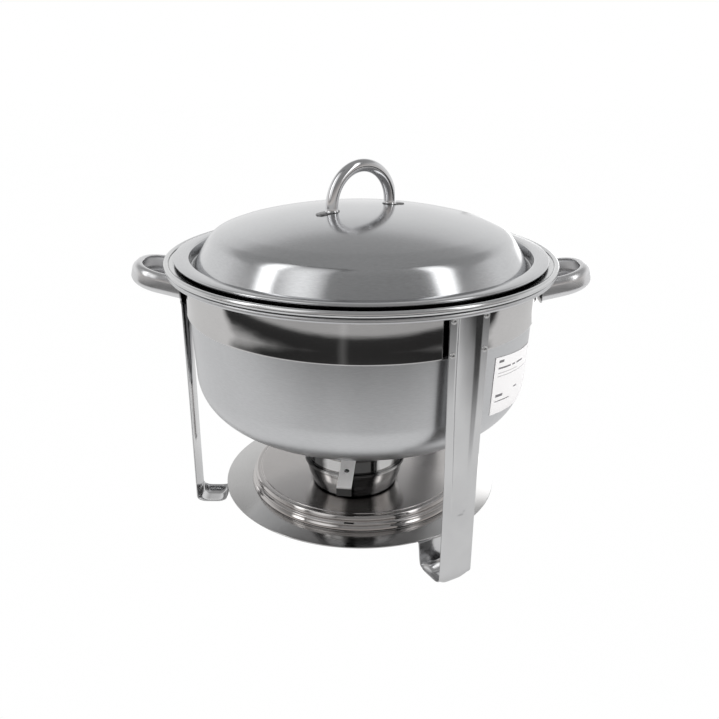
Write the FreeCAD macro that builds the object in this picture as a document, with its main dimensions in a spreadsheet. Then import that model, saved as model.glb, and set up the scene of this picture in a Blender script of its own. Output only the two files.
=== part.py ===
import FreeCAD, Part
import math
import os
import re
import Sketcher

# A round chafing dish on three legs: a stand with a base ring and burner, a water pan hung in the
# stand's polished band, a food pan nested in it and a domed lid.  Millimetres, ground at z = 0, the
# axis of the dish on Z.  Azimuths are measured from the front (-Y), positive towards +X.

os.makedirs("parts", exist_ok=True)
doc = FreeCAD.newDocument("chafing_dish")
sheet = doc.addObject("Spreadsheet::Sheet", "Sizes")

DRIVING = {
    # sheet metal thicknesses and the free play between nested parts
    "pan_gauge": 0.8, "band_gauge": 1.2, "nest_play": 0.6, "rest_play": 0.3,
    # stand band
    "band_radius": 173.2, "band_bottom": 228.8, "band_top": 270.0, "band_hem": 1.0,
    # legs, as strips with a pressed channel and a U-shaped foot
    "leg_face": 178.0, "leg_top": 269.0, "leg_half_top": 20.8, "leg_half_foot": 17.8,
    "leg_azimuth": 30.4, "foot_bend": 12.0, "foot_inner": 147.0, "foot_lean": 5.0, "tab_end": 128.0,
    "channel_half": 11.2, "channel_depth": 3.3, "channel_foot": 85.0,
    # rivets
    "rivet_head": 3.0, "rivet_shank": 1.8, "rivet_dome": 1.2, "rivet_side": 16.6,
    "rivet_low": 234.8, "rivet_high": 264.8,
    # base ring and the raised burner tray
    "base_radius": 144.6, "base_hole": 100.0, "base_under": 33.1,
    "tray_radius": 113.6, "tray_top": 47.8, "tray_foot": 117.3, "tray_shoulder": 3.0,
    "groove_place": 6.0, "groove_half": 1.0, "groove_depth": 0.9,
    "neck_drop": 6.0, "skirt_bead": 1.8, "bead_top_drop": 7.0, "bead_foot_drop": 8.4, "skirt_drop": 9.4,
    "skirt_waist": 1.2, "tray_fold": 0.4,
    # carrying handles
    "grip_end": 230.8, "grip_root": 174.9, "grip_half": 38.0, "grip_corner": 33.0,
    "grip_height": 20.0, "grip_flange": 8.0, "grip_soft": 6.6, "grip_low": 242.0, "grip_rise": 14.0,
    "ear_inner": 21.0, "ear_outer": 39.0, "ear_low": 241.5, "ear_height": 22.5, "ear_gauge": 1.5,
    "ear_rivet_side": 28.0, "ear_rivet_height": 253.5,
    # water pan
    "water_bead_radius": 187.6, "water_bead": 2.7, "water_waist": 229.0, "water_waist_radius": 170.8,
    "water_knee": 167.5, "water_knee_radius": 167.7, "water_corner": 49.1,
    "water_floor": 119.3, "water_floor_radius": 117.7, "water_waist_rise": 11.0, "bead_overlap": 1.6,
    # food pan
    "food_bead_radius": 189.3, "food_bead": 2.8, "food_bead_height": 278.5, "food_flange": 279.3,
    "food_ridge": 283.1, "ridge_radius": 175.6, "ridge_run": 2.0, "ridge_fold": 0.6, "food_taper_top": 262.0,
    "food_knee": 201.0, "food_knee_radius": 164.5, "food_corner": 18.0, "food_floor": 183.0,
    # lid
    "lid_top": 327.0, "lid_crown": 480.0, "lid_shoulder_start": 136.0,
    "lid_shoulder_end": 147.4, "lid_shoulder_low": 299.4, "lid_shoulder": 22.0,
    "lid_side": 240.0, "lid_side_foot": 162.7, "lid_side_low": 276.5,
    "lid_gutter_start": 164.6, "lid_gutter_low": 273.2, "lid_gutter_bend": 1.7, "lid_gutter_rise": 0.6,
    "lid_side_lean": 30.0, "lid_shoulder_lean": 37.0, "lid_edge": 182.0, "lid_hem": 1.0, "lid_hem_rise": 0.2,
    # lid handle
    "arch_radius": 36.0, "arch_tube": 6.0, "arch_springing": 330.0, "arch_foot": 327.3,
    "arch_turn": 39.0, "foot_tab_length": 24.0, "foot_tab_width": 12.0, "foot_tab_gauge": 0.9,
    "foot_tab_lean": 5.0, "foot_tab_place": 42.0, "foot_tab_height": 325.35,
    # burner
    "burner_x": -5.3, "burner_y": -35.5,
    "cup_rest": 0.1, "cup_base": 42.3, "cup_foot_bend": 1.5, "cup_fold": 0.4,
    "cup_belly": 48.0, "cup_belly_height": 62.0, "cup_rim": 51.0, "cup_rim_height": 76.0, "cup_bead": 1.3,
    "cover_hole": 21.0, "cover_radius": 49.2, "cover_flange": 52.2, "cover_top": 94.0, "cover_seat": 77.4,
    "damper_disc": 27.0, "damper_half": 7.0, "damper_gauge": 1.2, "damper_play": 0.2,
    "damper_pivot": 44.0, "damper_bend": 52.0, "damper_fall": 15.6, "damper_tip": 88.0, "damper_foot": 76.6,
    "damper_azimuth": 6.2, "damper_ear": 7.0, "damper_eye": 2.0, "damper_eye_place": 66.0,
    "pivot_radius": 2.5, "pivot_play": 0.05, "pivot_head": 4.2, "pivot_head_height": 1.4,
    # paper label on the water pan
    "label_gauge": 0.2, "label_glue": 0.1, "label_low": 155.0, "label_high": 212.0, "label_sweep": 27.5,
    "label_azimuth": 58.2,
}
for row, (word, number) in enumerate(DRIVING.items(), start=1):
    sheet.set(f"A{row}", word)
    sheet.set(f"B{row}", str(number))
    sheet.setAlias(f"B{row}", word)
doc.recompute()


def bound(words):
    """A formula of size words, with each word but the functions pointed at the sheet."""
    return re.sub(r"\b(?!(?:sqrt|sin|cos|tan)\b)[a-z_]{3,}", lambda word: "Sizes." + word.group(), words)


def size(words):
    """The present value of a formula of size words."""
    value = sheet.evalExpression(bound(words))
    return float(getattr(value, "Value", value))


def bind(thing, **formulas):
    """Set properties of a document object from formulas of size words."""
    for name, words in formulas.items():
        thing.setExpression(name, bound(words))


def new_body(label):
    body = doc.addObject("PartDesign::Body", label)
    body.Label = label
    return body


def origin_plane(body, role):
    return next(plane for plane in body.Origin.OriginFeatures if plane.Role == role)


def sketch_on(body, name, role, lift=None):
    """A sketch on an origin plane of its own body, moved along the plane's normal by a formula."""
    sketch = body.newObject("Sketcher::SketchObject", name)
    sketch.AttachmentSupport = (origin_plane(body, role), [""])
    sketch.MapMode = "FlatFace"
    if lift:
        sketch.setExpression("AttachmentOffset.Base.z", bound(lift))
    return sketch


LEFT = 1
RIGHT = -1
ON_AXIS = "on axis"


def outline(sketch, corners):
    """A closed outline through the corners, each (across, up) in size words.

    A corner may add a radius and a side: the stretch that follows it is then an arc, which bulges
    to the LEFT or to the RIGHT of the way along the outline.  With ON_AXIS after the side, the arc's
    centre is held on the upright axis in place of its radius.
    """
    points = [FreeCAD.Vector(size(c[0]), size(c[1]), 0) for c in corners]
    ends = []
    for number, corner in enumerate(corners):
        start = points[number]
        finish = points[(number + 1) % len(points)]
        if len(corner) > 2:
            radius = size(corner[2])
            chord = finish - start
            left = FreeCAD.Vector(-chord.y, chord.x, 0).normalize() * corner[3]
            rise = radius - math.sqrt(max(radius ** 2 - (chord.Length / 2) ** 2, 0.0))
            middle = start + chord * 0.5 + left * rise
            edge = Part.Arc(start, middle, finish)
        else:
            edge = Part.LineSegment(start, finish)
        index = sketch.addGeometry(edge, False)
        turned = (sketch.getPoint(index, 1) - start).Length > (sketch.getPoint(index, 2) - start).Length
        ends.append((index, 2, 1) if turned else (index, 1, 2))
    for number, (index, first, last) in enumerate(ends):
        following = ends[(number + 1) % len(ends)]
        sketch.addConstraint(Sketcher.Constraint("Coincident", index, last, following[0], following[1]))
        for kind, words, axis in (("DistanceX", corners[number][0], -2), ("DistanceY", corners[number][1], -1)):
            if size(words) == 0:
                sketch.addConstraint(Sketcher.Constraint("PointOnObject", index, first, axis))
            else:
                held = sketch.addConstraint(
                    Sketcher.Constraint(kind, -1, 1, index, first, size(words)))
                sketch.setExpression(f"Constraints[{held}]", bound(words))
        if corners[number][-1] == ON_AXIS:
            sketch.addConstraint(Sketcher.Constraint("PointOnObject", index, 3, -2))
        elif len(corners[number]) > 2:
            held = sketch.addConstraint(Sketcher.Constraint("Radius", index, size(corners[number][2])))
            sketch.setExpression(f"Constraints[{held}]", bound(corners[number][2]))


def circle(sketch, across, up, radius):
    """A full circle, its centre and radius in size words."""
    centre = FreeCAD.Vector(size(across), size(up), 0)
    index = sketch.addGeometry(Part.Circle(centre, FreeCAD.Vector(0, 0, 1), size(radius)), False)
    for kind, words, axis in (("DistanceX", across, -2), ("DistanceY", up, -1)):
        if size(words) == 0:
            sketch.addConstraint(Sketcher.Constraint("PointOnObject", index, 3, axis))
        else:
            held = sketch.addConstraint(Sketcher.Constraint(kind, -1, 1, index, 3, size(words)))
            sketch.setExpression(f"Constraints[{held}]", bound(words))
    held = sketch.addConstraint(Sketcher.Constraint("Radius", index, size(radius)))
    sketch.setExpression(f"Constraints[{held}]", bound(radius))


def revolve(body, name, sketch, sweep=None):
    turn = body.newObject("PartDesign::Revolution", name)
    turn.Profile = sketch
    turn.ReferenceAxis = (sketch, ["V_Axis"])
    turn.Angle = 360
    if sweep:
        turn.Midplane = True
        turn.setExpression("Angle", bound(sweep))
    sketch.Visibility = False
    return turn


def spun(label, corners, bead=None):
    """A round sheet part: its section turned about Z, with a rolled bead (across, up, radius)."""
    body = new_body(label)
    section = sketch_on(body, label + "_section", "XZ_Plane")
    outline(section, corners)
    revolve(body, label + "_turn", section)
    if bead:
        roll = sketch_on(body, label + "_roll", "XZ_Plane")
        circle(roll, *bead)
        revolve(body, label + "_bead", roll)
    return body


def pad(body, name, sketch, length, midplane=False):
    feature = body.newObject("PartDesign::Pad", name)
    feature.Profile = sketch
    feature.Midplane = midplane
    bind(feature, Length=length)
    return feature


NOTHING = 1e-3


def pocket(body, name, sketch, length, midplane=False):
    """A cut that has to take material away, so its direction is turned over if it takes none."""
    doc.recompute()
    before = body.Shape.Volume
    feature = body.newObject("PartDesign::Pocket", name)
    feature.Profile = sketch
    feature.Midplane = midplane
    bind(feature, Length=length)
    doc.recompute()
    if abs(body.Shape.Volume - before) < NOTHING:
        feature.Reversed = True
        doc.recompute()
    if body.Shape.Volume > before - NOTHING:
        raise RuntimeError(name + " cuts nothing")
    return feature


def around(azimuth_degrees):
    """The turn about Z that takes +X to an azimuth measured from the front."""
    return FreeCAD.Rotation(FreeCAD.Vector(0, 0, 1), azimuth_degrees - 90)


# ---------------------------------------------------------------- stand

def stand_ring():
    """The polished band that the legs carry, with its lower edge folded in as a hem."""
    return spun("stand_ring", [
        ("band_radius", "band_bottom + band_hem"),
        ("band_radius", "band_top"),
        ("band_radius - band_gauge", "band_top"),
        ("band_radius - band_gauge", "band_bottom + band_hem"),
    ], bead=("band_radius - band_hem", "band_bottom + band_hem", "band_hem"))


def channel_outline(sketch, half):
    """The front view of a leg's pressed channel: open at the top, a half circle at its foot."""
    outline(sketch, [
        (f"-({half})", "leg_top"),
        (f"-({half})", "channel_foot", half, RIGHT),
        ("0", f"channel_foot - ({half})", half, RIGHT),
        (half, "channel_foot"),
        (half, "leg_top"),
    ])


def leg(label, azimuth):
    """One stamped strip: a face with a pressed channel, a U foot, and a tab under the base ring."""
    body = new_body(label)
    side = sketch_on(body, label + "_side", "XZ_Plane")
    outline(side, [
        ("leg_face", "leg_top"),
        ("leg_face", "foot_bend", "foot_bend", LEFT),
        ("leg_face - foot_bend", "0"),
        ("foot_inner + foot_bend", "0", "foot_bend", LEFT),
        ("foot_inner", "foot_bend"),
        ("foot_inner - foot_lean", "base_under - band_gauge"),
        ("tab_end", "base_under - band_gauge"),
        ("tab_end", "base_under"),
        ("foot_inner - foot_lean + band_gauge", "base_under"),
        ("foot_inner + band_gauge", "foot_bend", "foot_bend - band_gauge", RIGHT),
        ("foot_inner + foot_bend", "band_gauge"),
        ("leg_face - foot_bend", "band_gauge", "foot_bend - band_gauge", RIGHT),
        ("leg_face - band_gauge", "foot_bend"),
        ("leg_face - band_gauge", "leg_top"),
    ])
    pad(body, label + "_strip", side, "2 * leg_half_top", midplane=True)
    ridge = sketch_on(body, label + "_ridge_face", "YZ_Plane", lift="leg_face - band_gauge - channel_depth")
    channel_outline(ridge, "channel_half + band_gauge")
    pad(body, label + "_ridge", ridge, "channel_depth + band_gauge / 2")
    trough = sketch_on(body, label + "_trough_face", "YZ_Plane", lift="leg_face + band_gauge")
    channel_outline(trough, "channel_half")
    pocket(body, label + "_trough", trough, "channel_depth + band_gauge")
    for hand, word in ((1, "right"), (-1, "left")):
        taper = sketch_on(body, f"{label}_{word}_taper", "YZ_Plane")
        sign = "" if hand > 0 else "-"
        outline(taper, [
            (f"{sign}leg_half_top", "leg_top"),
            (f"{sign}leg_half_foot", "0 - band_gauge"),
            (f"{sign}(leg_half_top + band_gauge)", "0 - band_gauge"),
            (f"{sign}(leg_half_top + band_gauge)", "leg_top"),
        ])
        pocket(body, f"{label}_{word}_trim", taper, "2 * leg_face")
    body.Placement = FreeCAD.Placement(FreeCAD.Vector(), around(azimuth))
    return body


def rivet(label, head_low, tip, radius, head_radius, head_height, place):
    """One rivet along its own X: a shank from tip to head_low and a flat round head on it."""
    shank = doc.addObject("Part::Cylinder", label + "_shank")
    bind(shank, Radius=radius, Height=f"{head_low} - ({tip}) + {head_height} / 2")
    shank.Placement = FreeCAD.Placement(
        FreeCAD.Vector(size(tip), 0, 0), FreeCAD.Rotation(FreeCAD.Vector(0, 1, 0), 90))
    head = doc.addObject("Part::Cone", label + "_head")
    bind(head, Radius1=head_radius, Radius2=f"{head_radius} * 2 / 3", Height=head_height)
    head.Placement = FreeCAD.Placement(
        FreeCAD.Vector(size(head_low), 0, 0), FreeCAD.Rotation(FreeCAD.Vector(0, 1, 0), 90))
    whole = doc.addObject("Part::Fuse", label)
    whole.Base = shank
    whole.Tool = head
    whole.Placement = place
    return whole


def group(label, pieces):
    """Separate solids that share one node."""
    together = doc.addObject("Part::Compound", label)
    together.Label = label
    together.Links = pieces
    return together


def band_middle(side):
    """How far out the middle of the band's sheet lies, at a distance beside a radius of the dish."""
    return f"sqrt((band_radius - band_gauge / 2) ^ 2 - {side} ^ 2)"


def leg_rivets(azimuths):
    pieces = []
    for which, azimuth in enumerate(azimuths, start=1):
        for side_word, hand in (("a", -1), ("b", 1)):
            for height in ("rivet_low", "rivet_high"):
                lift = FreeCAD.Vector(0, hand * size("rivet_side"), size(height))
                turn = around(azimuth)
                pieces.append(rivet(
                    f"{height}_{which}{side_word}", "leg_face", band_middle("rivet_side"),
                    "rivet_shank", "rivet_head", "rivet_dome",
                    FreeCAD.Placement(turn.multVec(lift), turn)))
    return group("leg_rivets", pieces)


def base_ring():
    """The flat polished ring on the three foot tabs."""
    return spun("base_ring", [
        ("base_hole", "base_under"),
        ("base_radius", "base_under"),
        ("base_radius", "base_under + band_gauge"),
        ("base_hole", "base_under + band_gauge"),
    ])


def burner_tray():
    """The raised tray in the middle: a flat top with a groove by its edge and a beaded skirt."""
    groove = "tray_radius - groove_place"
    inner = "tray_radius - pan_gauge"
    waist = "tray_radius + skirt_waist"
    return spun("burner_tray", [
        ("0", "tray_top"),
        (groove + " - groove_half", "tray_top"),
        (groove, "tray_top - groove_depth"),
        (groove + " + groove_half", "tray_top"),
        ("tray_radius - tray_shoulder", "tray_top", "tray_shoulder", LEFT),
        ("tray_radius", "tray_top - tray_shoulder"),
        ("tray_radius", "tray_top - neck_drop"),
        ("tray_radius + skirt_bead", "tray_top - bead_top_drop"),
        ("tray_radius + skirt_bead", "tray_top - bead_foot_drop"),
        (waist, "tray_top - skirt_drop"),
        ("tray_foot", "base_under + band_gauge"),
        ("tray_foot - pan_gauge", "base_under + band_gauge"),
        (waist + " - pan_gauge", "tray_top - skirt_drop"),
        (inner + " + skirt_bead", "tray_top - bead_foot_drop + tray_fold"),
        (inner + " + skirt_bead", "tray_top - bead_top_drop - tray_fold"),
        (inner, "tray_top - neck_drop - tray_fold"),
        (inner, "tray_top - tray_shoulder", "tray_shoulder - pan_gauge", RIGHT),
        ("tray_radius - tray_shoulder", "tray_top - pan_gauge"),
        (groove + " + groove_half", "tray_top - pan_gauge"),
        (groove, "tray_top - groove_depth - pan_gauge"),
        (groove + " - groove_half", "tray_top - pan_gauge"),
        ("0", "tray_top - pan_gauge"),
    ])


def grip_path(sketch):
    """The plan of a carrying handle's outer face: two arms, two round corners and a short end."""
    stops = [
        ("grip_root", "-grip_half"), ("grip_end - grip_corner", "-grip_half"),
        ("grip_end", "grip_corner - grip_half"), ("grip_end", "grip_half - grip_corner"),
        ("grip_end - grip_corner", "grip_half"), ("grip_root", "grip_half"),
    ]
    points = [FreeCAD.Vector(size(across), size(up), 0) for across, up in stops]
    for number in range(len(stops) - 1):
        start, finish = points[number], points[number + 1]
        if number in (1, 3):
            inner = FreeCAD.Vector(min(start.x, finish.x), min(start.y, finish.y, key=abs), 0)
            outward = (start + finish - inner * 2).normalize()
            sketch.addGeometry(Part.Arc(start, inner + outward * size("grip_corner"), finish), False)
        else:
            sketch.addGeometry(Part.LineSegment(start, finish), False)
    ends = []
    for index in range(len(stops) - 1):
        turned = (sketch.getPoint(index, 1) - points[index]).Length > NOTHING
        ends.append((2, 1) if turned else (1, 2))
    for index in range(len(stops) - 2):
        sketch.addConstraint(
            Sketcher.Constraint("Coincident", index, ends[index][1], index + 1, ends[index + 1][0]))
    holds = [(index, ends[index][0], stops[index]) for index in range(len(stops) - 1)]
    holds.append((len(stops) - 2, ends[-1][1], stops[-1]))
    for index, point, words in holds:
        for kind, length in zip(("DistanceX", "DistanceY"), words):
            held = sketch.addConstraint(Sketcher.Constraint(kind, -1, 1, index, point, size(length)))
            sketch.setExpression(f"Constraints[{held}]", bound(length))
    for index in (1, 3):
        held = sketch.addConstraint(Sketcher.Constraint("Radius", index, size("grip_corner")))
        sketch.setExpression(f"Constraints[{held}]", bound("grip_corner"))


def side_handle(label, azimuth):
    """A stamped loop of soft-cornered channel section, open on its inner side, rising outwards."""
    body = new_body(label)
    path = sketch_on(body, label + "_path", "XY_Plane")
    grip_path(path)
    section = sketch_on(body, label + "_section", "YZ_Plane", lift="grip_root")
    outline(section, [
        ("-grip_half", "grip_soft"),
        ("-grip_half", "grip_height - grip_soft", "grip_soft", LEFT),
        ("grip_soft - grip_half", "grip_height"),
        ("grip_flange - grip_half", "grip_height"),
        ("grip_flange - grip_half", "grip_height - band_gauge"),
        ("grip_soft - grip_half", "grip_height - band_gauge", "grip_soft - band_gauge", RIGHT),
        ("band_gauge - grip_half", "grip_height - grip_soft"),
        ("band_gauge - grip_half", "grip_soft", "grip_soft - band_gauge", RIGHT),
        ("grip_soft - grip_half", "band_gauge"),
        ("grip_flange - grip_half", "band_gauge"),
        ("grip_flange - grip_half", "0"),
        ("grip_soft - grip_half", "0", "grip_soft", LEFT),
    ])
    doc.recompute()
    sweep = body.newObject("PartDesign::AdditivePipe", label + "_sweep")
    sweep.Profile = section
    sweep.Spine = (path, [f"Edge{number}" for number in range(1, 6)])
    root_cut = sketch_on(body, label + "_root_side", "XZ_Plane")
    outline(root_cut, [
        ("grip_root - grip_flange", "0"),
        ("grip_root", "0"),
        ("grip_root + grip_height * tan(grip_rise)", "grip_height"),
        ("grip_root - grip_flange", "grip_height"),
    ])
    pocket(body, label + "_root_trim", root_cut, "4 * grip_half", midplane=True)
    lean = FreeCAD.Rotation(FreeCAD.Vector(0, 1, 0), -size("grip_rise"))
    root = FreeCAD.Vector(size("grip_root"), 0, 0)
    seat = FreeCAD.Placement(FreeCAD.Vector(0, 0, size("grip_low")), FreeCAD.Rotation())
    tilt = FreeCAD.Placement(FreeCAD.Vector(), lean, root)
    turn = FreeCAD.Placement(FreeCAD.Vector(), around(azimuth))
    body.Placement = turn.multiply(seat).multiply(tilt)
    return body


def handle_plate(label, azimuth):
    """The two ears that hold a carrying handle off the band, one at each arm."""
    ears = []
    for hand, word in ((1, "front"), (-1, "back")):
        ear = doc.addObject("Part::Box", f"{label}_{word}_ear")
        bind(ear, Length="ear_gauge", Width="ear_outer - ear_inner", Height="ear_height")
        low = size("ear_inner") if hand > 0 else -size("ear_outer")
        turn = around(azimuth)
        corner = FreeCAD.Vector(size("grip_root - ear_gauge"), low, size("ear_low"))
        ear.Placement = FreeCAD.Placement(turn.multVec(corner), turn)
        ears.append(ear)
    return group(label, ears)


def handle_rivets(azimuths):
    pieces = []
    for which, azimuth in enumerate(azimuths, start=1):
        for side_word, hand in (("a", -1), ("b", 1)):
            lift = FreeCAD.Vector(0, hand * size("ear_rivet_side"), size("ear_rivet_height"))
            turn = around(azimuth)
            pieces.append(rivet(
                f"ear_rivet_{which}{side_word}", "grip_root", band_middle("ear_rivet_side"),
                "rivet_shank", "rivet_head", "rivet_dome",
                FreeCAD.Placement(turn.multVec(lift), turn)))
    return group("handle_rivets", pieces)


# ---------------------------------------------------------------- pans

WATER_WALL = "band_radius - band_gauge - nest_play"
FOOD_WALL = WATER_WALL + " - pan_gauge - nest_play"
LID_WALL = FOOD_WALL + " - pan_gauge - nest_play"


def water_pan():
    """The deep outer pan: a flange on the band, a slightly tapered wall and a broad round corner."""
    return spun("water_pan", [
        ("water_bead_radius - bead_overlap", "band_top"),
        (WATER_WALL, "band_top"),
        (WATER_WALL, "water_waist + water_waist_rise"),
        ("water_waist_radius", "water_waist"),
        ("water_knee_radius", "water_knee", "water_corner", LEFT),
        ("water_floor_radius", "water_floor"),
        ("0", "water_floor"),
        ("0", "water_floor + pan_gauge"),
        ("water_floor_radius", "water_floor + pan_gauge", "water_corner - pan_gauge", RIGHT),
        ("water_knee_radius - pan_gauge", "water_knee"),
        ("water_waist_radius - pan_gauge", "water_waist"),
        (WATER_WALL + " - pan_gauge", "water_waist + water_waist_rise"),
        (WATER_WALL + " - pan_gauge", "band_top + pan_gauge"),
        ("water_bead_radius - bead_overlap", "band_top + pan_gauge"),
    ], bead=("water_bead_radius", "band_top + water_bead", "water_bead"))


def label_sheet():
    """The blank paper label on the water pan's wall."""
    body = new_body("label")
    section = sketch_on(body, "label_section", "XZ_Plane")
    slope = "(water_waist_radius - water_knee_radius) / (water_waist - water_knee)"
    wall_low = f"label_glue + water_knee_radius + {slope} * (label_low - water_knee)"
    wall_high = f"label_glue + water_knee_radius + {slope} * (label_high - water_knee)"
    outline(section, [
        (wall_low, "label_low"),
        (wall_low + " + label_gauge", "label_low"),
        (wall_high + " + label_gauge", "label_high"),
        (wall_high, "label_high"),
    ])
    revolve(body, "label_turn", section, sweep="label_sweep")
    body.Placement = FreeCAD.Placement(FreeCAD.Vector(), around(size("label_azimuth")))
    return body


def food_pan():
    """The inner pan: a rolled rim, a raised ridge that carries the lid, and a tapered wall."""
    return spun("food_pan", [
        ("food_bead_radius", "food_flange - pan_gauge"),
        ("ridge_radius + ridge_run - ridge_fold", "food_flange - pan_gauge"),
        ("ridge_radius - ridge_fold", "food_ridge - pan_gauge"),
        (FOOD_WALL, "food_ridge - pan_gauge"),
        (FOOD_WALL, "food_taper_top"),
        ("food_knee_radius", "food_knee", "food_corner", LEFT),
        ("food_knee_radius - food_corner", "food_floor"),
        ("0", "food_floor"),
        ("0", "food_floor + pan_gauge"),
        ("food_knee_radius - food_corner", "food_floor + pan_gauge", "food_corner - pan_gauge", RIGHT),
        ("food_knee_radius - pan_gauge", "food_knee"),
        (FOOD_WALL + " - pan_gauge", "food_taper_top"),
        (FOOD_WALL + " - pan_gauge", "food_ridge"),
        ("ridge_radius", "food_ridge"),
        ("ridge_radius + ridge_run", "food_flange"),
        ("food_bead_radius", "food_flange"),
    ], bead=("food_bead_radius", "food_bead_height", "food_bead"))


# ---------------------------------------------------------------- lid

def lid():
    """The domed lid: a shallow crown, a steep side, a gutter inside the pan and a flat flange."""
    under = "food_ridge + rest_play"
    gauge = " - pan_gauge"
    in_by = " - pan_gauge * cos(lid_side_lean)"
    down_by = " - pan_gauge * sin(lid_side_lean)"
    inner_start = "lid_shoulder_start * (1 - pan_gauge / lid_crown)"
    centre = "lid_top - lid_crown"
    shoulder_high = centre + " + sqrt(lid_crown ^ 2 - lid_shoulder_start ^ 2)"
    inner_high = centre + f" + sqrt((lid_crown - pan_gauge) ^ 2 - ({inner_start}) ^ 2)"
    return spun("lid", [
        ("0", "lid_top", "lid_crown", LEFT, ON_AXIS),
        ("lid_shoulder_start", shoulder_high, "lid_shoulder", LEFT),
        ("lid_shoulder_end", "lid_shoulder_low", "lid_side", LEFT),
        ("lid_side_foot", "lid_side_low"),
        ("lid_gutter_start", "lid_gutter_low", "lid_gutter_bend", RIGHT),
        (LID_WALL + gauge, "lid_gutter_low + lid_gutter_rise"),
        (LID_WALL + gauge, under + " + pan_gauge"),
        ("lid_edge", under + " + pan_gauge"),
        ("lid_edge", under),
        (LID_WALL, under),
        (LID_WALL, "lid_gutter_low + lid_gutter_rise", "lid_gutter_bend + pan_gauge", LEFT),
        ("lid_gutter_start" + in_by, "lid_gutter_low" + down_by),
        ("lid_side_foot" + in_by, "lid_side_low" + down_by, "lid_side - pan_gauge", RIGHT),
        ("lid_shoulder_end - pan_gauge * cos(lid_shoulder_lean)",
         "lid_shoulder_low - pan_gauge * sin(lid_shoulder_lean)", "lid_shoulder - pan_gauge", RIGHT),
        (inner_start, inner_high, "lid_crown - pan_gauge", RIGHT, ON_AXIS),
        ("0", "lid_top - pan_gauge"),
    ], bead=("lid_edge - lid_hem", under + " + lid_hem_rise", "lid_hem"))


def lid_handle():
    """The round tube arch on the lid."""
    body = new_body("lid_handle")
    path = sketch_on(body, "lid_handle_path", "XZ_Plane")
    radius = size("arch_radius")
    spring = size("arch_springing")
    foot = size("arch_foot")
    crown = Part.Arc(FreeCAD.Vector(radius, spring, 0), FreeCAD.Vector(0, spring + radius, 0),
                     FreeCAD.Vector(-radius, spring, 0))
    path.addGeometry(Part.LineSegment(FreeCAD.Vector(radius, foot, 0),
                                      FreeCAD.Vector(radius, spring, 0)), False)
    path.addGeometry(crown, False)
    path.addGeometry(Part.LineSegment(FreeCAD.Vector(-radius, spring, 0),
                                      FreeCAD.Vector(-radius, foot, 0)), False)
    held = []
    for geometry, point, kind, words in (
            (0, 1, "DistanceX", "arch_radius"), (0, 1, "DistanceY", "arch_foot"),
            (0, 2, "DistanceX", "arch_radius"), (0, 2, "DistanceY", "arch_springing"),
            (1, 3, "DistanceY", "arch_springing"),
            (2, 1, "DistanceX", "-arch_radius"), (2, 1, "DistanceY", "arch_springing"),
            (2, 2, "DistanceX", "-arch_radius"), (2, 2, "DistanceY", "arch_foot")):
        index = path.addConstraint(Sketcher.Constraint(kind, -1, 1, geometry, point, size(words)))
        held.append((index, words))
    path.addConstraint(Sketcher.Constraint("Coincident", 1, 1, 0, 2))
    path.addConstraint(Sketcher.Constraint("Coincident", 1, 2, 2, 1))
    for index, words in held:
        path.setExpression(f"Constraints[{index}]", bound(words))
    section = sketch_on(body, "lid_handle_section", "XY_Plane", lift="arch_foot")
    circle(section, "arch_radius", "0", "arch_tube")
    doc.recompute()
    pipe = body.newObject("PartDesign::AdditivePipe", "lid_handle_tube")
    pipe.Profile = section
    pipe.Spine = (path, ["Edge1", "Edge2", "Edge3"])
    body.Placement = FreeCAD.Placement(
        FreeCAD.Vector(), FreeCAD.Rotation(FreeCAD.Vector(0, 0, 1), size("arch_turn")))
    return body


def lid_handle_tabs():
    """The flat straps that fasten the two feet of the arch to the dome."""
    tabs = []
    for word, turn in (("right", 0), ("left", 180)):
        tab = doc.addObject("Part::Box", f"lid_handle_{word}_tab")
        bind(tab, Length="foot_tab_length", Width="foot_tab_width", Height="foot_tab_gauge")
        middle = FreeCAD.Vector(size("foot_tab_length / 2"), size("foot_tab_width / 2"), 0)
        about = FreeCAD.Rotation(FreeCAD.Vector(0, 0, 1), size("arch_turn") + turn)
        lean = FreeCAD.Rotation(FreeCAD.Vector(0, 1, 0), size("foot_tab_lean"))
        place = FreeCAD.Placement(
            FreeCAD.Vector(size("foot_tab_place"), 0, size("foot_tab_height")), lean)
        centred = FreeCAD.Placement(middle * -1, FreeCAD.Rotation())
        turned = FreeCAD.Placement(FreeCAD.Vector(), about)
        tab.Placement = turned.multiply(place).multiply(centred)
        tabs.append(tab)
    return group("lid_handle_tabs", tabs)


# ---------------------------------------------------------------- burner

def on_burner(body, azimuth=90, along=0.0):
    """Stand a body on the burner's own axis, turned to an azimuth and moved along it."""
    turn = around(azimuth)
    centre = FreeCAD.Vector(size("burner_x"), size("burner_y"), 0)
    body.Placement = FreeCAD.Placement(centre + turn.multVec(FreeCAD.Vector(along, 0, 0)), turn)
    return body


def fuel_cup():
    """The flared cup that holds the fuel, with a rolled rim."""
    floor = "tray_top + cup_rest"
    return on_burner(spun("fuel_cup", [
        ("0", floor),
        ("cup_base", floor),
        ("cup_base + cup_foot_bend", floor + " + cup_foot_bend"),
        ("cup_belly", "cup_belly_height"),
        ("cup_rim", "cup_rim_height"),
        ("cup_rim - pan_gauge", "cup_rim_height"),
        ("cup_belly - pan_gauge", "cup_belly_height"),
        ("cup_base + cup_foot_bend - pan_gauge", floor + " + cup_foot_bend + cup_fold"),
        ("cup_base - cup_fold", floor + " + pan_gauge"),
        ("0", floor + " + pan_gauge"),
    ], bead=("cup_rim", "cup_rim_height", "cup_bead")))


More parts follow.
